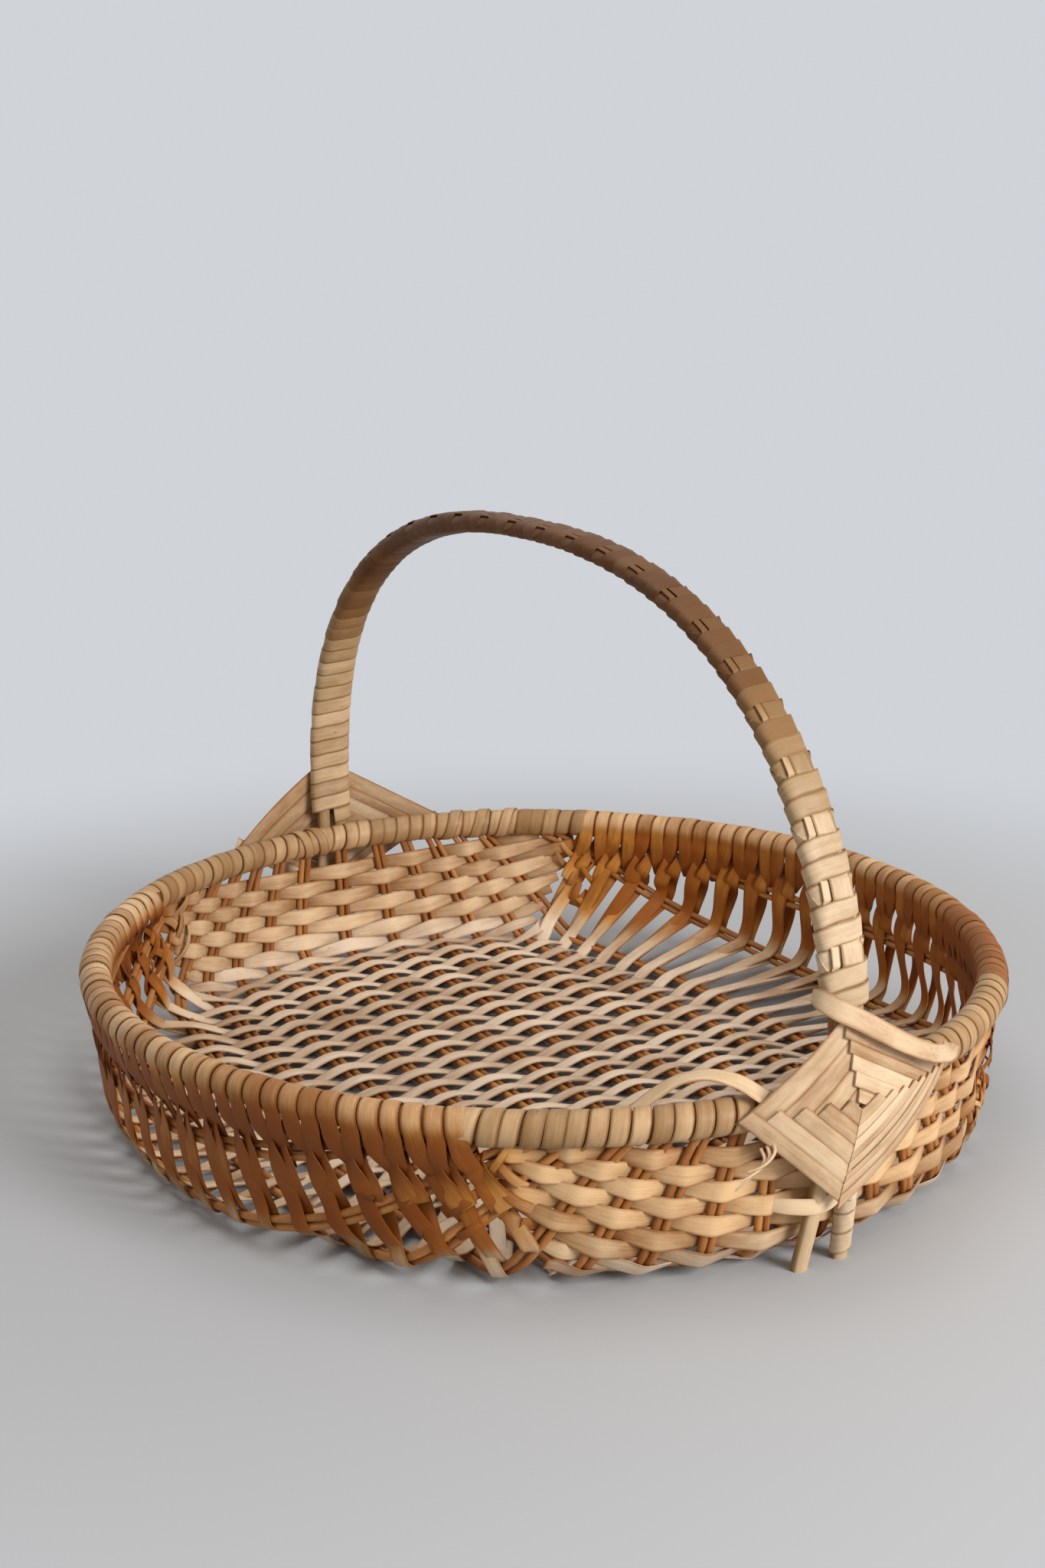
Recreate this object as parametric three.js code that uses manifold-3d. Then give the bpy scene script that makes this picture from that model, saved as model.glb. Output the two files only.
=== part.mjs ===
// Harvest basket: a shallow, nearly round gathering basket of split wood with a tall bow handle.
// Millimetres, +Z up. The handle stands over the X axis and the open sides face -Y and +Y.
// The origin is on the table, under the middle of the basket.
import * as THREE from 'three';
import { mergeVertices } from 'three/addons/utils/BufferGeometryUtils.js';
import Module from 'manifold-3d';

// Rim: an oval hoop, wrapped all round
const RIM_HALF_LENGTH = 222.5;
const RIM_HALF_WIDTH = 212.8;
const RIM_HEIGHT = 72.2;
const RIM_RADIUS = 7.6;
const HOOP_RADIUS = 6.0;
const RIM_SIDES = 40;

// Tray: flat floor, rounded base edge, nearly upright wall
const RIM_MEAN = (RIM_HALF_LENGTH + RIM_HALF_WIDTH) / 2;
const FLOOR_RADIUS = 201;
const EDGE_RADIUS = 14;
const WALL_ANGLE = THREE.MathUtils.degToRad(87);
const CORNER_ANGLE = THREE.MathUtils.degToRad(40);
const CORNER_CROWDING = 0.8;

// Ribs: pairs of round rods, parallel to the handle
const ROD_RADIUS = 1.78;
const RIB_SPACING = 28;
const FLOOR_RIBS = 5;
const EXTRA_FRONT_RIB = 172;
const EDGE_RIB = 205;
const WALL_RIB = 243.5;
const FLOOR_RIB_STEPS = 8;
const SIDE_RIB_STEPS = 16;

// Weavers: flat splints that cross the ribs
const WEAVERS = 47;
const SPLINT = 1.0;
const WEAVE_HEIGHT = 3.7;
const CORNER_LIFT = 0.7;
const END_LIFT = 0.24;
const RIB_CLEARANCE = 0.06;
const BEND_CLEARANCE = 0.016;
const FLOOR_FILL = 0.405;
const SIDE_FILL = 0.4;
const RIB_END = 10.4;

// Open sides: the strands between the two corners fan out at the base edge and climb nearly straight
const SIDE_LIMIT = 0.6;
const SIDE_SPREAD = THREE.MathUtils.degToRad(48);
const BASE_SPREAD = 1.18;
const FAN_START = 0.4;
const FAN_SHARES = [0.775, 0.88, 0.97];
const CORNER_GAP = THREE.MathUtils.degToRad(2.6);
const GAP = 0.3;
const FLOOR_LEVEL = WEAVE_HEIGHT + SPLINT / 2 + 0.22;

// Handle: two rods side by side, bound together, outside the rim at both ends
const HANDLE_TOP = 274.4;
const HANDLE_SPRING = 87.5;
const HANDLE_POWER = 2.38;
const HANDLE_LEAN = -13.8;
const HANDLE_TILT = 4.5;
const ROD_THICKNESS = 6.0;
const ROD_WIDTH = 7.8;
const HANDLE_X = RIM_HALF_LENGTH + RIM_RADIUS + GAP + ROD_THICKNESS / 2;
const FOOT_X = 223.5;
const FOOT_SPLAY = 9.3;
const FOOT_SHIFT = -2.2;
const BINDING_END = 116.2;
const BINDING = 0.9;
const HANDLE_STEPS = 22;
const WIDE_SPLINT = 8.4;
const NARROW_SPLINT = 5.2;

// Woven diamonds over the crossings of handle and rim: how far their four arms reach from the middle
const NEAR_ARMS = { front: 45.5, top: 36.5, back: 60, bottom: 44 };
const FAR_ARMS = { front: 66, top: 40, back: 66, bottom: 44 };
const DIAMOND_HEIGHT = RIM_HEIGHT + 3.4;
const DIAMOND_X = HANDLE_X + ROD_THICKNESS / 2 + 3;
const DIAMOND_RINGS = 6;
const DIAMOND_STEP = 0.52;

const wasm = await Module();
wasm.setup();

const lerp = THREE.MathUtils.lerp;

// Tray surface

// Length of the profile from the middle of the floor to the centre of the rim
const EDGE_LENGTH = EDGE_RADIUS * WALL_ANGLE;
const WALL_FOOT = FLOOR_LEVEL + EDGE_RADIUS * (1 - Math.cos(WALL_ANGLE));
const WALL_LENGTH = (RIM_HEIGHT - WALL_FOOT) / Math.sin(WALL_ANGLE);
const PROFILE_LENGTH = FLOOR_RADIUS + EDGE_LENGTH + WALL_LENGTH;
const WALL_TOP = (PROFILE_LENGTH - RIM_RADIUS - GAP - 0.6) / PROFILE_LENGTH;

// Radius and height after a length t of the profile
function profile(t) {
  if (t <= FLOOR_RADIUS) {
    return [t, FLOOR_LEVEL];
  }
  const turn = Math.min((t - FLOOR_RADIUS) / EDGE_RADIUS, WALL_ANGLE);
  const radius = FLOOR_RADIUS + EDGE_RADIUS * Math.sin(turn);
  const height = FLOOR_LEVEL + EDGE_RADIUS * (1 - Math.cos(turn));
  const rest = Math.max(t - FLOOR_RADIUS - EDGE_LENGTH, 0);
  return [radius + rest * Math.cos(WALL_ANGLE), height + rest * Math.sin(WALL_ANGLE)];
}

// The weave is a square grid drawn on a disc: u runs along the ribs and v along the weavers.
// The corners of the square lie on the rim, 40 degrees to each side of the handle.
function gridToDisc(u, v) {
  const crowding = THREE.MathUtils.smoothstep(Math.abs(u), 0.5, 1);
  const crowded = Math.sign(v) * Math.abs(v) ** CORNER_CROWDING;
  const w = lerp(v, crowded, crowding);
  const x = u * Math.sqrt(1 - (Math.sin(CORNER_ANGLE) * w) ** 2);
  const y = w * Math.sqrt(1 - (Math.cos(CORNER_ANGLE) * u) ** 2);
  return [x, y];
}

function discRadius(u, v) {
  return Math.hypot(...gridToDisc(u, v));
}

function trayPoint(u, v) {
  const [x, y] = gridToDisc(u, v);
  const share = Math.max(Math.hypot(x, y), 1e-9);
  const [radius, height] = profile(share * PROFILE_LENGTH);
  const scale = radius / share / RIM_MEAN;
  return new THREE.Vector3(x * scale * RIM_HALF_LENGTH, y * scale * RIM_HALF_WIDTH, height);
}

// Grid place of a point of the disc: the two equations of gridToDisc give a quadratic for w squared
function discToGrid(x, y) {
  const s = Math.sin(CORNER_ANGLE) ** 2;
  const c = Math.cos(CORNER_ANGLE) ** 2;
  const middle = 1 - c * x * x + s * y * y;
  const w = Math.sqrt((middle - Math.sqrt(Math.max(middle * middle - 4 * s * y * y, 0))) / (2 * s));
  const u = Math.abs(x) / Math.sqrt(1 - s * w * w);
  const crowding = THREE.MathUtils.smoothstep(u, 0.5, 1);
  const v = solve((t) => lerp(t, t ** CORNER_CROWDING, crowding), w);
  return [Math.sign(x) * u, Math.sign(y) * v];
}

// Unit normal of the tray, pointing to the inside of the basket
function trayNormal(u, v) {
  const step = 1e-4;
  const alongU = trayPoint(u + step, v).sub(trayPoint(u - step, v));
  const alongV = trayPoint(u, v + step).sub(trayPoint(u, v - step));
  return alongU.cross(alongV).normalize();
}

function lift(u, v, height) {
  return trayPoint(u, v).addScaledVector(trayNormal(u, v), height);
}

// The value between 0 and 1 where a growing function reaches a target
function solve(grows, target) {
  let low = 0;
  let high = 1;
  for (let i = 0; i < 40; i += 1) {
    const middle = (low + high) / 2;
    if (grows(middle) < target) {
      low = middle;
    } else {
      high = middle;
    }
  }
  return low;
}

// Solids

function solidGeometry(points, triangles) {
  let volume = 0;
  for (const [a, b, c] of triangles) {
    volume += points[a].dot(points[b].clone().cross(points[c]));
  }
  const order = volume > 0 ? triangles : triangles.map(([a, b, c]) => [a, c, b]);
  const geometry = new THREE.BufferGeometry();
  geometry.setAttribute('position', new THREE.Float32BufferAttribute(points.flatMap((p) => p.toArray()), 3));
  geometry.setIndex(order.flat());
  return geometry;
}

// Skin through rings with equal counts of points, closed by caps or into a loop. On a strip, whose rings
// have four points, both wide faces are split along the same diagonal, so that a twist keeps them apart.
function loft(rings, closed = false, isStrip = false) {
  const sides = rings[0].length;
  const points = rings.flat();
  const triangles = [];
  const spans = closed ? rings.length : rings.length - 1;
  for (let i = 0; i < spans; i += 1) {
    const here = i * sides;
    const next = ((i + 1) % rings.length) * sides;
    for (let j = 0; j < sides; j += 1) {
      const k = (j + 1) % sides;
      if (isStrip && j === 2) {
        triangles.push([here + j, here + k, next + j], [here + k, next + k, next + j]);
      } else {
        triangles.push([here + j, here + k, next + k], [here + j, next + k, next + j]);
      }
    }
  }
  if (!closed) {
    const last = (rings.length - 1) * sides;
    for (let j = 1; j < sides - 1; j += 1) {
      triangles.push([0, j + 1, j], [last, last + j, last + j + 1]);
    }
  }
  return solidGeometry(points, triangles);
}

function toManifold(geometry) {
  const bare = geometry.clone();
  bare.deleteAttribute('normal');
  bare.deleteAttribute('uv');
  const merged = mergeVertices(bare, 1e-5);
  return new wasm.Manifold(new wasm.Mesh({
    numProp: 3,
    vertProperties: new Float32Array(merged.attributes.position.array),
    triVerts: new Uint32Array(merged.index.array),
  }));
}

function fromManifold(solid) {
  const mesh = solid.getMesh();
  const geometry = new THREE.BufferGeometry();
  geometry.setAttribute('position', new THREE.BufferAttribute(mesh.vertProperties, 3));
  geometry.setIndex(new THREE.BufferAttribute(mesh.triVerts, 1));
  return geometry;
}

function unite(geometries) {
  const solids = geometries.map(toManifold);
  return fromManifold(solids.reduce((sum, solid) => sum.add(solid)));
}

// Ribs and rim

// Distances of the ribs from the middle of the floor, along the tray, as shares of the profile
function ribPlaces() {
  const places = [-WALL_RIB, -EDGE_RIB, -EXTRA_FRONT_RIB];
  for (let k = -FLOOR_RIBS; k <= FLOOR_RIBS; k += 1) {
    places.push(k * RIB_SPACING);
  }
  places.push(EDGE_RIB, WALL_RIB);
  return places.map((place) => place / PROFILE_LENGTH);
}

// Outline of two round rods side by side: across the pair and through its thickness
function rodPairOutline() {
  const far = 2 * ROD_RADIUS;
  const waist = ROD_RADIUS * 0.55;
  return [
    [0, waist], [-ROD_RADIUS, ROD_RADIUS], [-far, 0], [-ROD_RADIUS, -ROD_RADIUS],
    [0, -waist], [ROD_RADIUS, -ROD_RADIUS], [far, 0], [ROD_RADIUS, ROD_RADIUS],
  ];
}

// Stations where the tray turns up from floor to wall, and even ones between them
function ribStations(v, end) {
  const stations = [-end, end];
  for (const turn of [0, 0.5, 1]) {
    const share = (FLOOR_RADIUS + turn * EDGE_LENGTH) / PROFILE_LENGTH;
    const u = solve((t) => discRadius(t, v), share);
    if (u > 0.03) {
      stations.push(u, -u);
    }
  }
  const steps = Math.abs(v) > 0.55 ? SIDE_RIB_STEPS : FLOOR_RIB_STEPS;
  for (let i = 1; i < steps; i += 1) {
    const u = lerp(-end, end, i / steps);
    const isSpaced = stations.every((station) => Math.abs(station - u) > 0.025);
    if (isSpaced) {
      stations.push(u);
    }
  }
  return stations.sort((a, b) => a - b);
}

// A rib of the floor runs into the hoop; a rib of an open side ends a little short of it
function rib(v, isSideRib = false) {
  const shortOfRim = isSideRib ? RIB_END : HOOP_RADIUS / 2;
  const end = solve((t) => discRadius(t, v), (PROFILE_LENGTH - shortOfRim) / PROFILE_LENGTH);
  const rings = ribStations(v, end).map((u) => {
    const centre = trayPoint(u, v);
    const normal = trayNormal(u, v);
    const along = trayPoint(u + 1e-3, v).sub(trayPoint(u - 1e-3, v)).normalize();
    const side = along.clone().cross(normal).normalize();
    return rodPairOutline().map(([across, through]) => centre.clone()
      .addScaledVector(side, across)
      .addScaledVector(normal, through));
  });
  return loft(rings);
}

// One ring of points round the rim's centre line; 90 degrees points up
function rimSection(angle, radius, from, to, steps) {
  const centre = new THREE.Vector3(
    RIM_HALF_LENGTH * Math.cos(angle),
    RIM_HALF_WIDTH * Math.sin(angle),
    RIM_HEIGHT,
  );
  const outward = new THREE.Vector3(
    RIM_HALF_WIDTH * Math.cos(angle),
    RIM_HALF_LENGTH * Math.sin(angle),
    0,
  ).normalize();
  const points = [];
  for (let i = 0; i <= steps; i += 1) {
    const turn = THREE.MathUtils.degToRad(lerp(from, to, i / steps));
    points.push(centre.clone()
      .addScaledVector(outward, radius * Math.cos(turn))
      .add(new THREE.Vector3(0, 0, radius * Math.sin(turn))));
  }
  return points;
}

function rimRings(section) {
  const rings = [];
  for (let i = 0; i < RIM_SIDES; i += 1) {
    rings.push(section((i / RIM_SIDES) * 2 * Math.PI));
  }
  return rings;
}

function hoop() {
  return loft(rimRings((angle) => rimSection(angle, HOOP_RADIUS, 22.5, 337.5, 7)), true);
}

// The wrapping is open underneath, where ribs and weavers enter it
function rimBinding() {
  const inner = (HOOP_RADIUS + GAP + 0.1) / Math.cos(THREE.MathUtils.degToRad(284 / 14));
  const section = (angle) => [
    ...rimSection(angle, RIM_RADIUS, -52, 232, 7),
    ...rimSection(angle, inner, 232, -52, 7),
  ];
  return loft(rimRings(section), true);
}

// Weavers

// Half the width of a weaver, in grid units: full on the floor, narrow on the open sides
function halfWidth(u, v, pitch) {
  const side = THREE.MathUtils.smoothstep(Math.abs(v), 0.62, 0.8);
  const openness = side * (1 - THREE.MathUtils.smoothstep(Math.abs(u), 0.72, 0.86));
  return pitch * lerp(FLOOR_FILL, SIDE_FILL, openness);
}

// Angle from the Y axis at which a strand lies, from the rim angle, at each of the shares of the fan
function fanAngle(rimAngle, share) {
  const [base, , top] = FAN_SHARES;
  return rimAngle * lerp(BASE_SPREAD, 1, THREE.MathUtils.clamp((share - base) / (top - base), 0, 1));
}

// Grid places u of a weaver for any v. The strands of the open sides leave their grid line near the base edge.
function weaverLine(u) {
  if (Math.abs(u) > SIDE_LIMIT) {
    return () => u;
  }
  const rimAngle = SIDE_SPREAD * (u / SIDE_LIMIT);
  const places = FAN_SHARES.map((share) => {
    const angle = fanAngle(rimAngle, share);
    return discToGrid(share * Math.sin(angle), share * Math.cos(angle));
  });
  places.unshift([u, FAN_START]);
  return (v) => {
    const reach = Math.abs(v);
    if (reach <= FAN_START) {
      return u;
    }
    const next = places.findIndex(([, place]) => place >= reach);
    const k = next < 1 ? places.length - 1 : next;
    const [fromU, fromV] = places[k - 1];
    const [toU, toV] = places[k];
    return lerp(fromU, toU, Math.min((reach - fromV) / (toV - fromV), 1.1));
  };
}

// A row of an end panel ends where it meets the outermost strand of the open side
function cornerEnd(u) {
  return solve((v) => {
    const [x, y] = gridToDisc(u, v);
    const angle = Math.atan2(Math.abs(x), Math.abs(y));
    return fanAngle(SIDE_SPREAD, Math.hypot(x, y)) + CORNER_GAP - angle;
  }, 0);
}

// A weaver ends under the rim, at the corner, or short of a rib that it would meet there
function weaverEnd(line, pitch, ribs) {
  let end = solve((t) => discRadius(line(t), t), WALL_TOP);
  if (Math.abs(line(0)) > SIDE_LIMIT) {
    const half = pitch * FLOOR_FILL;
    end = Math.min(end, cornerEnd(Math.abs(line(0)) - half), cornerEnd(Math.abs(line(0)) + half));
  }
  const inTheWay = ribs.find((v) => Math.abs(Math.abs(v) - end) < RIB_CLEARANCE);
  return inTheWay === undefined ? end : Math.abs(inTheWay) - RIB_CLEARANCE;
}

// Where a weaver crosses each rib, and how far inside (+) or outside (-) the ribs it lies
function crossings(line, number, pitch, ribs) {
  const end = weaverEnd(line, pitch, ribs);
  const isSideStrand = Math.abs(line(0)) < SIDE_LIMIT;
  const list = [];
  ribs.forEach((v, k) => {
    if (Math.abs(v) < end - 0.02) {
      const u = line(v);
      const isWallRib = k === 0 || k === ribs.length - 1;
      const isOver = (number + k) % 2 === 0 && !(isWallRib && isSideStrand);
      const corner = CORNER_LIFT * THREE.MathUtils.smoothstep(Math.abs(u * v), 0.24, 0.6);
      const endPanel = END_LIFT * THREE.MathUtils.smoothstep(Math.abs(u), 0.72, 0.85);
      const height = WEAVE_HEIGHT * (1 + corner + endPanel);
      list.push([v, isOver ? height : -height]);
    }
  });
  return [[-end, 0], ...list, [end, 0]];
}

function addBends(line, places) {
  const bends = [];
  for (const turn of [0, 0.5, 1]) {
    const share = (FLOOR_RADIUS + turn * EDGE_LENGTH) / PROFILE_LENGTH;
    const v = solve((t) => discRadius(line(t), t), share);
    if (v > 0.02 && v < 0.99) {
      bends.push(v, -v);
    }
  }
  const added = [];
  for (const bend of bends) {
    const i = places.findIndex(([v]) => v > bend);
    if (i > 0) {
      const [from, fromHeight] = places[i - 1];
      const [to, toHeight] = places[i];
      if (bend - from > BEND_CLEARANCE && to - bend > BEND_CLEARANCE) {
        added.push([bend, lerp(fromHeight, toHeight, (bend - from) / (to - from))]);
      }
    }
  }
  return [...places, ...added].sort((a, b) => a[0] - b[0]);
}

function weaver(number, ribs) {
  const outermost = (PROFILE_LENGTH * WALL_TOP - 5.6) / PROFILE_LENGTH;
  const pitch = (2 * outermost) / (WEAVERS - 1);
  const line = weaverLine(-outermost + number * pitch);
  const rings = addBends(line, crossings(line, number, pitch, ribs)).map(([v, height]) => {
    const u = line(v);
    const half = halfWidth(u, v, pitch);
    return [
      lift(u - half, v, height - SPLINT / 2),
      lift(u + half, v, height - SPLINT / 2),
      lift(u + half, v, height + SPLINT / 2),
      lift(u - half, v, height + SPLINT / 2),
    ];
  });
  return loft(rings, false, true);
}

// Handle

// Centre line of the handle, from the far foot (0) over the top to the near foot (1)
function handleFrame(t) {
  const angle = Math.PI * (1 - t);
  const cosine = Math.cos(angle);
  const sine = Math.max(Math.sin(angle), 0);
  const climb = sine ** (2 / HANDLE_POWER);
  const x = HANDLE_X * Math.sign(cosine) * Math.abs(cosine) ** (2 / HANDLE_POWER);
  return new THREE.Vector3(
    x + HANDLE_LEAN * climb,
    HANDLE_TILT * climb,
    HANDLE_SPRING + (HANDLE_TOP - HANDLE_SPRING) * climb,
  );
}

function bowPoints(steps) {
  const points = [];
  for (let i = 0; i <= steps; i += 1) {
    points.push(handleFrame(i / steps));
  }
  return points;
}

// How broad the handle is at a point, against its named sizes: broadest on the far leg, slimmest at the near shoulder
function girth(point) {
  const high = THREE.MathUtils.smoothstep(point.z, 120, 262);
  return point.x < 0 ? lerp(1.2, 0.98, high) : lerp(1.06, 0.94, high) + 0.04 * THREE.MathUtils.smoothstep(point.z, 262, 274);
}

// Unit vectors that point away from the inside of the arch, one for each point
function outwardAlong(points) {
  return points.map((point, i) => {
    const before = points[Math.max(i - 1, 0)];
    const after = points[Math.min(i + 1, points.length - 1)];
    const along = after.clone().sub(before).setY(0).normalize();
    return new THREE.Vector3(-along.z, 0, along.x);
  });
}

// One rod of the bow, with the leg that runs down outside the rim to the table
function handleRod(side) {
  const bow = bowPoints(HANDLE_STEPS);
  const legHeights = [0, RIM_HEIGHT * 0.45, RIM_HEIGHT - 2];
  const leg = (sign) => legHeights.map((z) => {
    const rise = z / (RIM_HEIGHT - 2);
    return new THREE.Vector3(sign * lerp(FOOT_X, HANDLE_X, Math.min(rise * 1.15, 1)), 0, z);
  });
  const path = [...leg(-1), ...bow, ...leg(1).reverse()];
  const outward = outwardAlong(path);
  const rings = path.map((point, i) => {
    const splay = THREE.MathUtils.clamp(1 - point.z / (RIM_HEIGHT - 2), 0, 1);
    const broad = girth(point);
    const y = point.y + side * lerp(ROD_WIDTH / 2 * broad + GAP / 2, FOOT_SPLAY, splay) + FOOT_SHIFT * splay;
    const ring = [];
    for (let j = 0; j < 8; j += 1) {
      const turn = ((j + 0.5) / 8) * 2 * Math.PI;
      const rod = point.clone().setY(y + (ROD_WIDTH / 2) * broad * Math.cos(turn));
      const reach = (ROD_THICKNESS / 2) * Math.sin(turn);
      const isFoot = point.z < 1;
      const away = isFoot ? new THREE.Vector3(Math.sign(point.x), 0, 0) : outward[i];
      ring.push(rod.addScaledVector(away, reach));
    }
    return ring;
  });
  return loft(rings);
}

// Points that a strip or sleeve on the bow follows, above the near diamond and a height on the far leg
function boundBow(farEnd = BINDING_END) {
  return bowPoints(HANDLE_STEPS).filter((point) => point.z > (point.x < 0 ? farEnd : BINDING_END));
}

// The flat wrapping that holds both rods together, open at its two ends
function handleBinding() {
  const path = boundBow(HANDLE_SPRING - 1);
  const outward = outwardAlong(path);
  const reach = ROD_THICKNESS / 2 + GAP;
  const spread = ROD_WIDTH + GAP;
  const section = (grow) => [
    [spread + grow, reach * 0.45], [spread * 0.72, reach + grow],
    [-spread * 0.72, reach + grow], [-spread - grow, reach * 0.45],
    [-spread - grow, -reach * 0.45], [-spread * 0.72, -reach - grow],
    [spread * 0.72, -reach - grow], [spread + grow, -reach * 0.45],
  ];
  const place = (i, [across, through]) => path[i].clone()
    .addScaledVector(outward[i], through)
    .setY(path[i].y + across * girth(path[i]));
  const inner = section(0.25);
  const outer = section(BINDING + 0.25);
  const rings = outer.map((corner, j) => [
    ...path.map((point, i) => place(i, corner)),
    ...path.map((point, i) => place(i, inner[j])).reverse(),
  ]);
  return loft(rings, true);
}

// A splint that runs lengthwise on the outer face of the wrapping
function handleSplint(centre, width) {
  const path = boundBow();
  const outward = outwardAlong(path);
  const bottom = ROD_THICKNESS / 2 + 2 * GAP + BINDING + 0.25;
  const rings = path.map((point, i) => {
    const corner = (across, through) => point.clone()
      .addScaledVector(outward[i], through)
      .setY(point.y + (centre + across) * girth(point));
    return [
      corner(-width / 2, bottom), corner(width / 2, bottom),
      corner(width / 2, bottom + SPLINT * 0.8), corner(-width / 2, bottom + SPLINT * 0.8),
    ];
  });
  return loft(rings);
}

// Diamonds

// How far out the back of a diamond lies at y: over the handle in the middle, against the rim at the arm's end
function diamondBack(y, reach) {
  const rim = (RIM_HALF_LENGTH + RIM_RADIUS + GAP) * Math.sqrt(1 - (reach / (RIM_HALF_WIDTH + RIM_RADIUS)) ** 2) + GAP;
  return lerp(DIAMOND_X, rim, (y / reach) ** 2);
}

// Concentric diamonds of splint, each ring one step lower than the one inside it
function diamond(sign, arms) {
  const corners = [[arms.back, 0], [0, arms.top], [-arms.front, 0], [0, -arms.bottom]];
  const ringAt = (share, height) => corners.flatMap(([y, z], j) => {
    const [nextY, nextZ] = corners[(j + 1) % 4];
    const places = [[y * share, z * share], [(y + nextY) * share / 2, (z + nextZ) * share / 2]];
    return places.map(([across, up]) => {
      const x = diamondBack(across, across > 0 ? arms.back : arms.front) + height;
      return new THREE.Vector3(sign * x, across, DIAMOND_HEIGHT + up);
    });
  });
  const rings = [ringAt(0.1, 0), ringAt(0.5, 0), ringAt(1, 0)];
  for (let k = 0; k < DIAMOND_RINGS; k += 1) {
    const height = SPLINT + k * DIAMOND_STEP;
    rings.push(ringAt(1 - k / DIAMOND_RINGS, height), ringAt(1 - (k + 0.85) / DIAMOND_RINGS, height));
  }
  return loft(rings);
}

// Assembly

const finishes = {
  rods: new THREE.MeshStandardMaterial({ color: 0x9a6a3c, roughness: 0.6, metalness: 0 }),
  splint: new THREE.MeshStandardMaterial({ color: 0xcdb38a, roughness: 0.62, metalness: 0 }),
  binding: new THREE.MeshStandardMaterial({ color: 0xb98f58, roughness: 0.55, metalness: 0 }),
  handle: new THREE.MeshStandardMaterial({ color: 0xc2a272, roughness: 0.55, metalness: 0 }),
};

const basket = new THREE.Group();
basket.name = 'harvest_basket';

function addPiece(name, geometry, material) {
  const mesh = new THREE.Mesh(geometry, material);
  mesh.name = name;
  basket.add(mesh);
}

const ribs = ribPlaces();
const isSideRib = (v) => Math.abs(v) * PROFILE_LENGTH > EDGE_RIB - 1;
const floorRibs = ribs.filter((v) => !isSideRib(v));
addPiece('rim_frame', unite([hoop(), ...floorRibs.map((v) => rib(v))]), finishes.rods);
addPiece('edge_rib_front', rib(ribs[1], true), finishes.rods);
addPiece('edge_rib_back', rib(ribs[ribs.length - 2], true), finishes.rods);
addPiece('wall_rib_front', rib(ribs[0], true), finishes.rods);
addPiece('wall_rib_back', rib(ribs[ribs.length - 1], true), finishes.rods);
addPiece('rim_binding', rimBinding(), finishes.binding);
for (let i = 0; i < WEAVERS; i += 1) {
  addPiece(`weaver_${String(i + 1).padStart(2, '0')}`, weaver(i, ribs), finishes.splint);
}
addPiece('handle_rod_front', handleRod(-1), finishes.rods);
addPiece('handle_rod_back', handleRod(1), finishes.rods);
addPiece('handle_binding', handleBinding(), finishes.handle);
addPiece('handle_splint_narrow', handleSplint(-4.6, NARROW_SPLINT), finishes.handle);
addPiece('handle_splint_wide', handleSplint(3.6, WIDE_SPLINT), finishes.handle);
addPiece('gods_eye_near', diamond(1, NEAR_ARMS), finishes.splint);
addPiece('gods_eye_far', diamond(-1, FAR_ARMS), finishes.splint);

export default basket;
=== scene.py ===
import math
from collections import namedtuple

import bpy
import numpy as np
from mathutils import Matrix, Vector


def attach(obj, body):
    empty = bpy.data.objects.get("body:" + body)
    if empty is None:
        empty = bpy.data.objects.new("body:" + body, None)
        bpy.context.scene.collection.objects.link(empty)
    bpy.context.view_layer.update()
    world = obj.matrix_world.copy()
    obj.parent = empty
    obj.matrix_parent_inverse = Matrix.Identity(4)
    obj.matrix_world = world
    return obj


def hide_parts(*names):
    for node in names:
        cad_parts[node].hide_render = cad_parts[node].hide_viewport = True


bl_info = {
    "name": "Harvest Basket",
    "version": (1, 0, 0),
    "blender": (4, 5, 0),
    "location": "3D View > Sidebar > Basket",
    "description": "Builds a shallow woven gathering basket with a bow handle, piece by piece",
    "category": "Add Mesh",
}

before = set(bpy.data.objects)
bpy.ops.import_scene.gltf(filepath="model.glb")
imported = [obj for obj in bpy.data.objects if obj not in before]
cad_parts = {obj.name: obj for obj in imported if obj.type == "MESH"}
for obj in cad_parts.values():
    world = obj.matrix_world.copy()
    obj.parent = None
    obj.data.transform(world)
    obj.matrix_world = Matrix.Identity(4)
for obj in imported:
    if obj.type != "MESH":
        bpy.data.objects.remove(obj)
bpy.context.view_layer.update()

# Sizes are in millimetres, as in the solids, and become metres in add_piece
MM = 0.001

# Rim and tray
RIM_HALF_LENGTH = 222.5
RIM_HALF_WIDTH = 212.8
RIM_MEAN = (RIM_HALF_LENGTH + RIM_HALF_WIDTH) / 2
RIM_HEIGHT = 72.2
HOOP_RADIUS = 6.0
FLOOR_LEVEL = 4.42
FLOOR_RADIUS = 201.0
EDGE_RADIUS = 14.0
WALL_ANGLE = math.radians(87)
CORNER_ANGLE = math.radians(40)
CORNER_CROWDING = 0.8
EDGE_LENGTH = EDGE_RADIUS * WALL_ANGLE
WALL_FOOT = FLOOR_LEVEL + EDGE_RADIUS * (1 - math.cos(WALL_ANGLE))
PROFILE_LENGTH = FLOOR_RADIUS + EDGE_LENGTH + (RIM_HEIGHT - WALL_FOOT) / math.sin(WALL_ANGLE)

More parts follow.
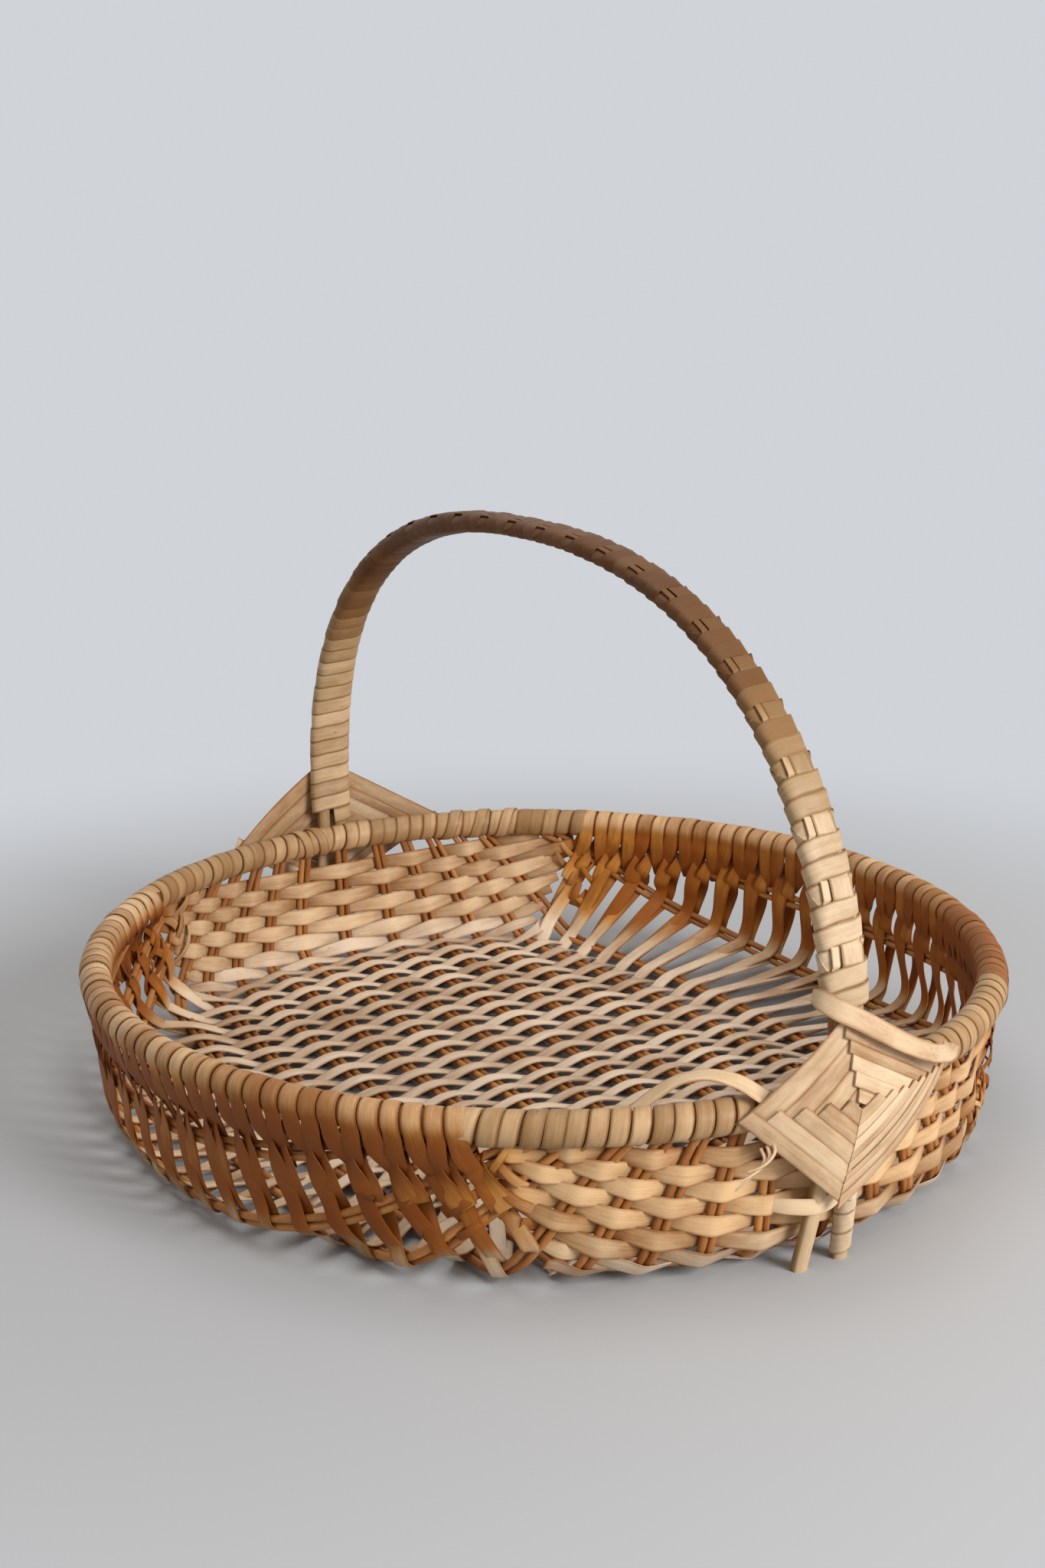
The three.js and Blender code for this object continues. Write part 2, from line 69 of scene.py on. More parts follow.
# Ribs, by their place along the tray's profile from the middle
ROD_RADIUS = 1.78
RIB_SPACING = 28.0
EDGE_RIB = 205.0
WALL_RIB = 243.5
FRONT_RIB = 172.0
FLOOR_RIBS = [RIB_SPACING * k for k in range(-5, 6)]
RIBS = [-WALL_RIB, -EDGE_RIB, -FRONT_RIB] + FLOOR_RIBS + [EDGE_RIB, WALL_RIB]
WALL_RIB_HEIGHT = 38.7
NAMED_RIBS = {0: "wall_rib_front", 1: "edge_rib_front", len(RIBS) - 2: "edge_rib_back",
              len(RIBS) - 1: "wall_rib_back"}

# Weavers
SOLID_WEAVERS = 47
SOLID_REACH = 0.945
ROW_REACH = 264.0
FLOOR_REACH = 186.0
SIDE_REACH = (179.0, 146.0)
RIM_SPREAD = math.radians(49)
BASE_SPREAD = 1.18
BASE_SWING = 1.3
EDGE_TURN = 214.0
PANEL_SHARE = 0.76
TABLE_GAP = 0.1

# A strand's climb to the rim: height, distance out, share of its width, twist and added tone, which paints
# shade near the rim
CLIMB = ((46.0, 2.9, 1.14, 14, -0.1), (53.0, 2.2, 0.84, 28, 0.05), (60.0, -1.6, 0.7, 24, 0.3),
         (65.5, -6.2, 0.9, 8, 0.3))
# Its turn over the hoop, by the angle round the hoop's section
TURNS = (180, 135, 90, 45, 0, -28)
TURN_LEAN = math.radians(0.8)
# Its tail under the rim: share of the drop, distance out, shares of its width and lean, and added tone, which
# paints shade as it tucks in
TAIL = ((0.0, 5.3, 1.06, 0.16, 0.0), (0.35, 3.2, 0.94, 0.45, 0.05), (0.72, 0.9, 0.66, 0.8, 0.2),
        (1.0, -1.2, 0.32, 1.0, 0.3))
TAIL_TOP = 61.0

# Rim wrapping
WRAPPED_REACH = math.radians(40.5)
RIM_WRAP_PITCH = 8.4
RIM_WRAP_HALF = 3.85

# Handle
HANDLE_X = 233.4
HANDLE_TOP = 274.4
HANDLE_SPRING = 87.5
HANDLE_POWER = 2.38
HANDLE_LEAN = -13.8
HANDLE_TILT = 4.5
HANDLE_HALF_WIDTH = 8.5
ROD_SPACING = 4.05
FOOT_X = 223.5
FOOT_SPLAY = 10.5
FOOT_SHIFT = -3.5
BINDING_END = (84.0, 114.0)
WRAP_PITCH = 8.5
WINDOW_PERIOD = 3
FOOT_WRAP_PITCH = 9.6
FOOT_WRAP_TOP = 50.0
FOOT_WRAP_END = 6.0

# Diamonds: arm tips beside and above the crossing, in the order top, right, bottom, left as seen from
# outside; edges of the strips of each quadrant as shares of the arms; and the layer at which each quadrant
# starts and ends
DIAMOND_X = 239.4
DIAMOND_HEIGHT = 75.6
NEAR_ARMS = ((-6.0, 36.5), (62.0, -3.0), (-4.0, -44.0), (-45.5, -3.5))
FAR_ARMS = ((0.0, 40.0), (66.0, 0.0), (0.0, -44.0), (-66.0, 0.0))
DIAMOND_EDGES = ((0, 0.2, 0.4, 0.6, 0.76, 1.0), (0, 0.2, 0.32, 0.44, 0.55, 0.65, 0.75, 0.86, 1.0),
                 (0, 0.2, 0.4, 0.6, 0.8, 1.0), (0, 0.2, 0.46, 0.73, 1.0))
DIAMOND_LAYERS = ((1.2, 0.5), (1.5, 1.0), (0.7, 1.2), (0.0, 0.0))
DIAMOND_ROWS = 36

# Corners of the weave, as angles round the basket
CORNERS = np.radians([-38, 38, 142, -142])
CURLS_PER_CORNER = 9

# Grain of the wood: features to a metre along a strip, across it, and from strip to strip
FINE_STREAKS = (70.0, 2600.0, 37.0)
BROAD_STREAKS = (22.0, 520.0, 11.0)
BLOTCHES = (55.0, 120.0, 5.3)
AREAS = (14.0, 14.0, 14.0)
KNOTS = (60.0, 150.0, 3.1)
OLIVE = (0.20, 0.125, 0.05, 1.0)
GREYED = (0.98, 1.08, 1.34, 1.0)
# The deep orange also paints warm shade on the open sides
DEEP_ORANGE = (0.96, 0.62, 0.19, 1.0)
# The brown below also paints the deepest shade on the open sides, besides the handle's dark top
AGED_AND_SHADED = (0.44, 0.31, 0.15, 1.0)
KNOT_BROWN = (0.07, 0.032, 0.013, 1.0)

# Stage, in metres, degrees and watts
DISC_RADII = np.array([0.02, 0.35, 0.8, 1.6, 3.0, 6.0])
DISC_SIDES = 128
FADE_RADII = (0.30, 0.72)
ROOM_LIGHT = (1.0, 0.965, 0.92, 1.0)
ROOM_STRENGTH = 0.55
# Name, place, target, size and power
LAMPS = (("window", (1.65, 0.55, 0.85), (0, 0, 0.05), 0.9, 33.0),
         ("top", (-0.1, 0.1, 1.9), (0, 0, 0), 1.6, 10.0))
CAMERA_PLACE = (0.8094, -0.4901, 0.3994)
CAMERA_AZIMUTH = 59.23
CAMERA_ELEVATION = 14.6
CAMERA_ROLL = -0.73
CAMERA_LENS = 46.58
SENSOR_HEIGHT = 36.0

Part = namedtuple("Part", "points quads strip look")


# Shapes: numpy arrays in millimetres

def smoothstep(x, low, high):
    """0 below low, 1 above high, and 3t^2 - 2t^3 between them."""
    t = np.clip((x - low) / (high - low), 0.0, 1.0)
    return t * t * (3 - 2 * t)


def unit(vectors):
    """Each row divided by its length."""
    return vectors / np.maximum(np.linalg.norm(vectors, axis=-1, keepdims=True), 1e-9)


def run_length(path):
    """Length along a path at each of its points."""
    return np.concatenate([[0], np.cumsum(np.linalg.norm(np.diff(path, axis=0), axis=1))])


def columns_at(s, at, rows):
    """Each column of rows that are given at some lengths, read at the lengths s along straight lines."""
    return np.stack([np.interp(s, at, rows[:, k]) for k in range(rows.shape[1])], axis=-1)


def softened(rows, weights):
    """Each column's weighted moving mean. The ends are continued by their odd reflection."""
    reach = len(weights) // 2
    padded = np.pad(rows, ((reach, reach), (0, 0)), mode="reflect", reflect_type="odd")
    share = weights / weights.sum()
    return np.stack([np.convolve(padded[:, k], share, "valid") for k in range(rows.shape[1])], axis=-1)


def zone(points):
    """Look of the wood by place, as tone and hue. The tone is how dark it is: painted shade, most on the two
    open sides below the rim. The hue goes from 0, greyed on the floor, to 1, deep orange painted shade on the
    open sides."""
    x, y, z = points[:, 0], points[:, 1], points[:, 2]
    wall = smoothstep(z, 6, 26)
    side = smoothstep(np.abs(y) / np.maximum(np.abs(x), 1.0), 0.58, 0.9)
    outer = side * smoothstep(np.hypot(x / RIM_HALF_LENGTH, y / RIM_HALF_WIDTH), 0.72, 0.96)
    under = 1 - smoothstep(z, 62, 76)
    near = smoothstep(x, 0, 120)
    back = smoothstep(y, 0, 100)
    shaded = back * smoothstep(x, 20, 150)
    # Painted shade: darker under the rim on the open sides, and darkest on the back wall's near half
    side_tone = side * (0.42 * under - 0.02 - back * 0.16 * under + 0.34 * shaded)
    side_hue = side * (0.58 * under - 0.20 + 0.08 * back)
    tone = 0.47 + 0.12 * outer + wall * (0.06 + 0.05 * near + side_tone)
    hue = 0.10 + 0.22 * outer + wall * (0.46 + 0.12 * near + side_hue)
    return tone, hue


def grid_to_disc(u, v):
    """A square grid drawn on a disc: x = u sqrt(1 - (w sin a)^2), y = w sqrt(1 - (u cos a)^2), where a is
    the corner angle and w is v, crowded towards the corners as |v|^0.8 near the ends."""
    crowded = np.sign(v) * np.abs(v) ** CORNER_CROWDING
    w = v + (crowded - v) * smoothstep(np.abs(u), 0.5, 1.0)
    x = u * np.sqrt(1 - (math.sin(CORNER_ANGLE) * w) ** 2)
    y = w * np.sqrt(1 - (math.cos(CORNER_ANGLE) * u) ** 2)
    return x, y


def disc_share(u, v):
    """Distance of a grid place from the middle of the disc: 0 in the middle and 1 at the rim."""
    return np.hypot(*grid_to_disc(np.float64(u), np.float64(v)))


def disc_to_grid(x, y):
    """Grid place of a point on the disc, by halving v and taking u from it."""
    low, high = 0.0, 1.0
    u = abs(x)
    for _ in range(60):
        v = (low + high) / 2
        for _ in range(12):
            crowded = v ** CORNER_CROWDING
            w = v + (crowded - v) * smoothstep(u, 0.5, 1.0)
            u = min(abs(x) / math.sqrt(1 - (math.sin(CORNER_ANGLE) * w) ** 2), 1.0)
        if grid_to_disc(np.float64(u), np.float64(v))[1] < abs(y):
            low = v
        else:
            high = v
    return math.copysign(u, x), math.copysign(v, y)


def profile(t):
    """Radius and height after a length t of the tray's profile: floor, round base edge, straight wall."""
    turn = np.clip((t - FLOOR_RADIUS) / EDGE_RADIUS, 0, WALL_ANGLE)
    rest = np.maximum(t - FLOOR_RADIUS - EDGE_LENGTH, 0)
    radius = np.minimum(t, FLOOR_RADIUS) + EDGE_RADIUS * np.sin(turn) + rest * math.cos(WALL_ANGLE)
    height = FLOOR_LEVEL + EDGE_RADIUS * (1 - np.cos(turn)) + rest * math.sin(WALL_ANGLE)
    return radius, height


def tray_point(u, v):
    """Point of the tray at grid place (u, v): the distance from the disc's middle becomes a length of the
    profile."""
    x, y = grid_to_disc(np.asarray(u, float), np.asarray(v, float))
    share = np.maximum(np.hypot(x, y), 1e-9)
    radius, height = profile(share * PROFILE_LENGTH)
    scale = radius / share / RIM_MEAN
    return np.stack([x * scale * RIM_HALF_LENGTH, y * scale * RIM_HALF_WIDTH, height], axis=-1)


def tray_normal(u, v):
    """Unit normal of the tray towards the inside: the cross product of its two grid directions."""
    step = 1e-4
    along_u = tray_point(u + step, v) - tray_point(u - step, v)
    along_v = tray_point(u, v + step) - tray_point(u, v - step)
    return unit(np.cross(along_u, along_v))


def wall_frame(theta, height):
    """Point of the wall at an angle round the basket and a height, and the wall's outward direction there."""
    rest = (height - WALL_FOOT) / math.tan(WALL_ANGLE)
    radius = (FLOOR_RADIUS + EDGE_RADIUS * math.sin(WALL_ANGLE) + rest) / RIM_MEAN
    x = radius * RIM_HALF_LENGTH * np.cos(theta)
    y = radius * RIM_HALF_WIDTH * np.sin(theta)
    out = unit(np.stack([RIM_HALF_WIDTH * np.cos(theta), RIM_HALF_LENGTH * np.sin(theta), 0 * theta],
                        axis=-1))
    return np.stack([x, y, height], axis=-1), out


def smooth_rows(knots, step):
    """Rows of knots sampled every step of chord length. The slope at a knot is the mean of its two spans'
    slopes, each weighted by the other span's length, and a cubic Hermite joins the knots."""
    gaps = np.maximum(np.linalg.norm(np.diff(knots[:, :3], axis=0), axis=1), 1e-6)
    at = np.concatenate([[0], np.cumsum(gaps)])
    slopes = np.diff(knots, axis=0) / gaps[:, None]
    inner = (slopes[:-1] * gaps[1:, None] + slopes[1:] * gaps[:-1, None]) / (gaps[:-1] + gaps[1:])[:, None]
    tangents = np.vstack([slopes[:1], inner, slopes[-1:]])
    s = np.linspace(0, at[-1], max(int(at[-1] / step), 4))
    i = np.clip(np.searchsorted(at, s, side="right") - 1, 0, len(gaps) - 1)
    h = gaps[i][:, None]
    x = (s - at[i])[:, None] / h
    start = (1 + 2 * x) * (1 - x) ** 2 * knots[i] + x * (1 - x) ** 2 * h * tangents[i]
    end = x * x * (3 - 2 * x) * knots[i + 1] + x * x * (x - 1) * h * tangents[i + 1]
    return start + end


def bent_rows(knots, step, soft):
    """Rows of knots joined by straight spans, sampled every step, with the bends softened over a short
    length by a weighted moving mean."""
    gaps = np.maximum(np.linalg.norm(np.diff(knots[:, :3], axis=0), axis=1), 1e-6)
    at = np.concatenate([[0], np.cumsum(gaps)])
    rows = columns_at(np.linspace(0, at[-1], max(int(at[-1] / step), 8)), at, knots)
    reach = max(int(soft / step), 1)
    return softened(rows, np.hanning(2 * reach + 3)[1:-1])


def lens_section(points, width_power=0.75, height_power=0.8):
    """Flat section with crowned faces and thin edges: across is the cosine and through the sine of the
    turn, signed and raised to their powers. Lower powers make it more like a box."""
    turn = (np.arange(points) + 0.5) / points * 2 * math.pi
    across = np.sign(np.cos(turn)) * np.abs(np.cos(turn)) ** width_power
    through = np.sign(np.sin(turn)) * np.abs(np.sin(turn)) ** height_power
    return across / np.abs(across).max(), through / np.abs(through).max()


def round_section(points):
    """Circle of points."""
    turn = (np.arange(points) + 0.5) / points * 2 * math.pi
    return np.cos(turn), np.sin(turn)


def sweep(path, normals, half_width, half_thickness, section, seed, tone, hue):
    """A section carried along a path and closed at both ends. The side direction is the cross product of
    the path's tangent and the normal. The part has points, quads, and for each point its strip coordinates,
    which are the length, the place across and the strip's own number, and its look: tone, nearness to an
    edge, and hue."""
    along = unit(np.gradient(path, axis=0))
    side = unit(np.cross(along, normals))
    up = np.cross(side, along)
    across, through = section
    count, sides = len(path), len(across)
    half_width = np.broadcast_to(half_width, count)
    half_thickness = np.broadcast_to(half_thickness, count)
    points = (path[:, None, :]
              + side[:, None, :] * (half_width[:, None] * across[None, :])[..., None]
              + up[:, None, :] * (half_thickness[:, None] * through[None, :])[..., None])
    ring = np.arange(sides)
    following = (ring + 1) % sides
    rows = np.arange(count - 1)[:, None] * sides
    faces = np.stack([rows + ring, rows + following, rows + sides + following, rows + sides + ring], axis=-1)
    j = np.arange(sides // 2 - 1)
    cap = np.stack([j, j + 1, sides - 2 - j, sides - 1 - j], axis=-1)
    quads = np.vstack([faces.reshape(-1, 4)[:, ::-1], cap, cap[:, ::-1] + (count - 1) * sides])
    grid = (count, sides)
    own = np.broadcast_to(np.reshape(seed, (-1, 1)), grid)
    strip = np.stack([np.broadcast_to(run_length(path)[:, None], grid),
                      half_width[:, None] * across[None, :], own], axis=-1)
    look = np.stack([np.broadcast_to(np.reshape(tone, (-1, 1)), grid),
                     np.broadcast_to(np.abs(across)[None, :], grid),
                     np.broadcast_to(np.reshape(hue, (-1, 1)), grid)], axis=-1)
    return Part(points.reshape(-1, 3), quads, strip.reshape(-1, 3).astype(float),
                look.reshape(-1, 3).astype(float))


def add_piece(name, parts, material, replaced=()):
    """One mesh object made of swept parts, in metres, with its strip and look attributes. It rides on the
    basket."""
    points = np.vstack([part.points for part in parts]) * MM
    starts = np.cumsum([0] + [len(part.points) for part in parts[:-1]])
    quads = np.vstack([part.quads + start for part, start in zip(parts, starts)])
    strip = np.vstack([part.strip for part in parts]) * np.array([MM, MM, 1.0])
    look = np.vstack([part.look for part in parts])
    mesh = bpy.data.meshes.new(name)
    mesh.vertices.add(len(points))
    mesh.vertices.foreach_set("co", points.astype(np.float32).ravel())
    mesh.loops.add(quads.size)
    mesh.loops.foreach_set("vertex_index", quads.astype(np.int32).ravel())
    mesh.polygons.add(len(quads))
    mesh.polygons.foreach_set("loop_start", np.arange(0, quads.size, 4, dtype=np.int32))
    mesh.update(calc_edges=True)
    for key, values in (("strip", strip), ("look", look)):
        attribute = mesh.attributes.new(key, "FLOAT_VECTOR", "POINT")
        attribute.data.foreach_set("vector", values.astype(np.float32).ravel())
    mesh.polygons.foreach_set("use_smooth", np.ones(len(quads), dtype=bool))
    mesh.set_sharp_from_angle(angle=math.radians(55))
    if mesh.validate():
        raise RuntimeError(f"{name} has faulty faces")
    mesh.materials.append(material)
    piece = bpy.data.objects.new(name, mesh)
    bpy.context.scene.collection.objects.link(piece)
    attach(piece, "root")
    if replaced:
        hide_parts(*replaced)


# Materials

class Value:
    """A socket of a shader. Sums, differences and products of values add Math nodes."""

    def __init__(self, shader, socket):
        self.shader = shader
        self.socket = socket

    def math(self, operation, first, second):
        return self.shader.node("ShaderNodeMath", {"operation": operation}, {0: first, 1: second})

    def __add__(self, other):
        return self.math("ADD", self, other)

    def __sub__(self, other):
        return self.math("SUBTRACT", self, other)

    def __rsub__(self, other):
        return self.math("SUBTRACT", other, self)

    def __mul__(self, other):
        return self.math("MULTIPLY", self, other)


class Shader:
    """The nodes of a new material or world."""

    def __init__(self, owner):
        owner.use_nodes = True
        self.tree = owner.node_tree
        self.tree.nodes.clear()

    def node(self, kind, settings=None, inputs=None, output=0):
        """A node of this kind: its settings first, then its sockets' values or links. Returns one of its
        outputs."""
        node = self.tree.nodes.new(kind)
        for key, value in (settings or {}).items():
            setattr(node, key, value)
        for key, value in (inputs or {}).items():
            if isinstance(value, Value):
                self.tree.links.new(value.socket, node.inputs[key])
            else:
                node.inputs[key].default_value = value
        return Value(self, node.outputs[output]) if node.outputs else None

    def attribute(self, name):
        """The vector that each point of a mesh carries under this name."""
        return self.node("ShaderNodeAttribute", {"attribute_name": name}, None, "Vector")

    def axis(self, vector, index):
        """One component of a vector."""
        return self.node("ShaderNodeSeparateXYZ", None, {0: vector}, index)

    def mix(self, factor, first, second, blend="MIX"):
        """Two colours mixed by a factor."""
        settings = {"data_type": "RGBA", "blend_type": blend, "clamp_factor": True}
        return self.node("ShaderNodeMix", settings, {0: factor, 6: first, 7: second}, 2)

    def between(self, value, low, high):
        """The value's place between low and high, smoothed and kept from 0 to 1."""
        settings = {"interpolation_type": "SMOOTHSTEP"}
        return self.node("ShaderNodeMapRange", settings, {0: value, 1: low, 2: high})

    def noise(self, vector, detail, roughness):
        """Noise in 0 to 1 at one feature to a unit of the vector."""
        inputs = {"Vector": vector, "Scale": 1.0, "Detail": detail, "Roughness": roughness}
        return self.node("ShaderNodeTexNoise", None, inputs)

    def scaled(self, vector, scale):
        """A vector times a constant vector."""
        return self.node("ShaderNodeVectorMath", {"operation": "MULTIPLY"}, {0: vector, 1: scale})


def wood(name, light, dark, grain=0.5, patch=0.5, sheen=0.5, edges=0.3, variety=0.4, skin=0.0):
    """Split wood. Fine streaks run along each strip, and patches, the strip's own shade and the painted shade
    in its tone vary its colour between light and dark. Its edges are darker, painted shade where strips meet,
    small knots dot it, and its hue goes from greyed to deep orange, the deep orange partly painted warm
    shade."""
    wood_material = bpy.data.materials.new(name)
    shader = Shader(wood_material)
    strip, look = shader.attribute("strip"), shader.attribute("look")
    tone, edge, hue = (shader.axis(look, k) for k in range(3))
    own = shader.node("ShaderNodeTexWhiteNoise", {"noise_dimensions": "1D"}, {"W": shader.axis(strip, 2)},
                      "Value")
    fine = shader.noise(shader.scaled(strip, FINE_STREAKS), 4.0, 0.6)
    broad = shader.noise(shader.scaled(strip, BROAD_STREAKS), 3.0, 0.55)
    blotch = shader.noise(shader.scaled(strip, BLOTCHES), 4.0, 0.6)
    place = shader.node("ShaderNodeTexCoord", None, None, "Object")
    area = shader.noise(shader.scaled(place, AREAS), 2.0, 0.5)
    streaks = shader.between(fine * 0.6 + broad * 0.4, 0.32, 0.7)
    patches = shader.between(blotch * 0.6 + area * 0.4, 0.36, 0.66)
    shade = (1 - streaks) * (0.36 * grain) + (1 - patches) * (0.5 * patch) + (own - 0.5) * variety + 0.2
    # Painted shade: the tone darkens each place by where it lies and what it passes under, and the edges
    # darken the seams
    shade = shade + shader.between(edge, 0.7, 1.0) * edges + (tone - 0.5) * 1.1
    colour = shader.mix(shader.between(shade, 0.0, 1.0), light, dark)
    if skin:
        olive = shader.between(area * 0.5 + blotch * 0.5 + (own - 0.5) * 0.3, 0.44, 0.6)
        colour = shader.mix(olive * shader.between(tone, 0.4, 0.8) * skin, colour, OLIVE)
    colour = shader.mix(1 - shader.between(hue, 0.0, 0.5), colour, GREYED, "MULTIPLY")
    # Deep orange: the rods' and the wrapping's own warmth, and painted warm shade on the open sides
    colour = shader.mix(shader.between(hue, 0.5, 1.0), colour, DEEP_ORANGE, "MULTIPLY")
    # Darkest tones: painted shade on the open sides' walls, and the handle's dark olive top
    colour = shader.mix(shader.between(tone, 0.85, 1.5), colour, AGED_AND_SHADED, "MULTIPLY")
    dots = shader.node("ShaderNodeTexVoronoi", {"feature": "F1"},
                       {"Vector": shader.scaled(strip, KNOTS), "Scale": 1.0, "Randomness": 1.0}, "Distance")
    knots = (1 - shader.between(dots, 0.035, 0.1)) * shader.between(broad, 0.5, 0.56) * 0.5
    colour = shader.mix(knots, colour, KNOT_BROWN)
    rough = 0.62 - streaks * (0.18 * sheen) - patches * (0.14 * sheen) + knots * 0.2
    relief = fine * 0.5 + broad * 0.8 - knots * 0.6
    normal = shader.node("ShaderNodeBump", None, {"Strength": 0.16, "Distance": 0.0006, "Height": relief})
    surface = shader.node("ShaderNodeBsdfPrincipled", None, {
        "Base Color": colour, "Roughness": rough, "Normal": normal, "IOR": 1.45, "Specular IOR Level": 0.28,
    })
    shader.node("ShaderNodeOutputMaterial", None, {"Surface": surface})
    return wood_material


def floor_finish(name, colour, far_colour, roughness):
    """Plain matt surface. Seen by the camera, it turns into the plain backdrop colour with the distance
    from the middle."""
    floor_material = bpy.data.materials.new(name)
    shader = Shader(floor_material)
    place = shader.node("ShaderNodeTexCoord", None, None, "Object")
    distance = shader.node("ShaderNodeVectorMath", {"operation": "LENGTH"}, {0: place}, "Value")
    seen = shader.node("ShaderNodeLightPath", None, None, "Is Camera Ray")
    matt = shader.node("ShaderNodeBsdfPrincipled", None,
                       {"Base Color": colour, "Roughness": roughness, "Specular IOR Level": 0.2})
    glow = shader.node("ShaderNodeEmission", None, {"Color": far_colour, "Strength": 1.0})
    fade = shader.between(distance, *FADE_RADII) * seen
    surface = shader.node("ShaderNodeMixShader", None, {0: fade, 1: matt, 2: glow})
    shader.node("ShaderNodeOutputMaterial", None, {"Surface": surface})
    return floor_material


def material(name, *colours, **settings):
    """The wood of this name, made on first use."""
    return bpy.data.materials.get(name) or wood(name, *colours, **settings)


def splint_wood():
    """Wood of the weavers and the diamonds."""
    c = bpy.context.scene.basket_colours
    return material("split wood", tuple(c.splint_light), tuple(c.splint_dark))


def rod_wood():
    """Wood of the hoop and the ribs."""
    c = bpy.context.scene.basket_colours
    return material("peeled rod", tuple(c.rod_light), tuple(c.rod_dark), grain=0.8, patch=0.7, edges=0.0)


def wrap_wood():
    """Wood of the handle and the rim's wrapping, with some of its olive skin left on."""
    c = bpy.context.scene.basket_colours
    # Its darker edges paint the shade in the seams between turns
    return material("wrapping splint", tuple(c.wrap_light), tuple(c.wrap_dark), sheen=1.0, skin=0.4,
                    edges=0.5, variety=0.2)


# Ribs and hoop

def rib_end(v):
    """Grid place u where the rib line v comes to the hoop, found by halving."""
    low, high = 0.0, 1.0
    share = (PROFILE_LENGTH - HOOP_RADIUS / 2) / PROFILE_LENGTH
    for _ in range(40):
        middle = (low + high) / 2
        if disc_share(middle, v) < share:
            low = middle
        else:
            high = middle
    return low


def rib_rods(v, seed):
    """Both rods of a rib: the grid line v from rim to rim, with the two rods set apart to the sides, a little
    unevenly."""
    u = np.linspace(-1, 1, 161) * rib_end(v)
    path = tray_point(u, v)
    normal = tray_normal(u, np.full_like(u, v))
    side = unit(np.cross(unit(np.gradient(path, axis=0)), normal))
    wander = np.sin(u * 7.3 + seed * 2.1) * 0.25 + np.sin(u * 17.0 + seed) * 0.18
    apart = ROD_RADIUS + 0.12 + np.maximum(wander, -0.1)
    parts = []
    for sign in (-1, 1):
        swing = np.sin(u * 11 + seed * 3.7 + sign) * 0.2
        centre = path + side * (sign * apart)[:, None] + normal * swing[:, None]
        radius = ROD_RADIUS * (0.96 + 0.05 * np.sin(u * 9 + seed + sign * 2))
        tone = 0.5 + 0.14 * np.sin(seed * 5 + sign)
        parts.append(sweep(centre, normal, radius, radius, round_section(10), seed + sign * 0.31, tone, 0.72))
    return parts


def hoop():
    """The rod of the rim, all the way round."""
    angle = np.linspace(0, 2 * math.pi, 181)
    point, outward = wall_frame(angle, np.full_like(angle, RIM_HEIGHT))
    # Tone 0.85 is painted shade: the hoop shows dark between the wraps and turns that cover it
    return sweep(point, outward, HOOP_RADIUS, HOOP_RADIUS, round_section(16), seed=1.0, tone=0.85, hue=0.6)


# Weavers

def places_to(limit, start, pitch, panel_pitch):
    """Places of the rows of one half: at the pitch as far as the limit, then at the panel pitch up to the
    rim."""
    places = list(np.arange(start, limit, pitch))
    while places[-1] + panel_pitch < ROW_REACH:
        places.append(places[-1] + panel_pitch)
    return places


def weaver_places(near_pitch, far_pitch, panel_pitch):
    """Developed places of all weavers along the X axis, from far to near: closer on the near half of the
    floor, wider on the far half, and at the panel pitch on the end panels."""
    near = places_to(FLOOR_REACH, 0, near_pitch, panel_pitch)
    far = places_to(FLOOR_REACH, far_pitch, far_pitch, panel_pitch)
    return np.array([-place for place in reversed(far)] + near)


def side_angle(place):
    """Angle at the rim, from the middle of the open side, of the strand at a place on the floor, in even
    steps."""
    return RIM_SPREAD * place / (SIDE_REACH[1] if place > 0 else SIDE_REACH[0])


def row_end(u):
    """Grid place v where a row of an end panel ends: at the line of the outermost strand that climbs the
    open side, or under the rim."""
    v = np.linspace(0.0, 1.0, 900)
    x, y = grid_to_disc(np.full_like(v, abs(u)), v)
    share = np.hypot(x, y)
    line = np.radians(np.interp(share, [0.775, 1.0], [31.5, 40.0]))
    stop = (np.arctan2(y, x) > line) | (share > (PROFILE_LENGTH - 8.5) / PROFILE_LENGTH)
    return v[np.argmax(stop)] if stop.any() else 1.0


def over(number, k):
    """1 where strand number lies inside rib k, -1 where it lies outside."""
    return 1 if (number + k) % 2 == 0 else -1


def weave_height(share):
    """How far a strand's middle lies from the tray over a rib: more on the floor, where the splints are
    slack."""
    return 2.5 + 0.45 * (1 - smoothstep(share, 0.66, 0.76))


def knot(point, normal, half, twist=0.0, tone=0.0):
    """One row of a strand's knots: place, face direction, half width, twist, and how much darker it is than
    its zone, which paints shade where it passes under or behind other parts."""
    return np.concatenate([point, normal, [half, twist, tone]])


def tray_knots(u_of_v, number, reach, strip_at, between=False):
    """Knots of a strand on the tray as far as the reach both ways: one over the middle of each rib, on
    alternate sides, and if asked one halfway between two ribs, on the tray itself. The strip gives height,
    half width and tone."""
    rows = []
    for k, place in enumerate(RIBS):
        spots = [(place, over(number, k))]
        if between and k + 1 < len(RIBS):
            spots.append(((place + RIBS[k + 1]) / 2, 0))
        for spot, side in spots:
            v = spot / PROFILE_LENGTH
            if -reach < v < reach:
                u = u_of_v(v)
                height, half, tone = strip_at(u, v, side)
                normal = tray_normal(np.float64(u), np.float64(v))
                point = tray_point(u, v) + normal * side * height
                rows.append((v, knot(point, normal, half, 0.0, tone)))
    return rows


def taut(knots, least, reach):
    """Knots with two more on every span longer than least, at the reach from its ends and in line with
    them: the span is straight and bends only near its ends."""
    rows = [knots[0]]
    for first, last in zip(knots[:-1], knots[1:]):
        span = np.linalg.norm(last[:3] - first[:3])
        if span > least:
            rows += [first + (last - first) * reach / span, last + (first - last) * reach / span]
        rows.append(last)
    return rows


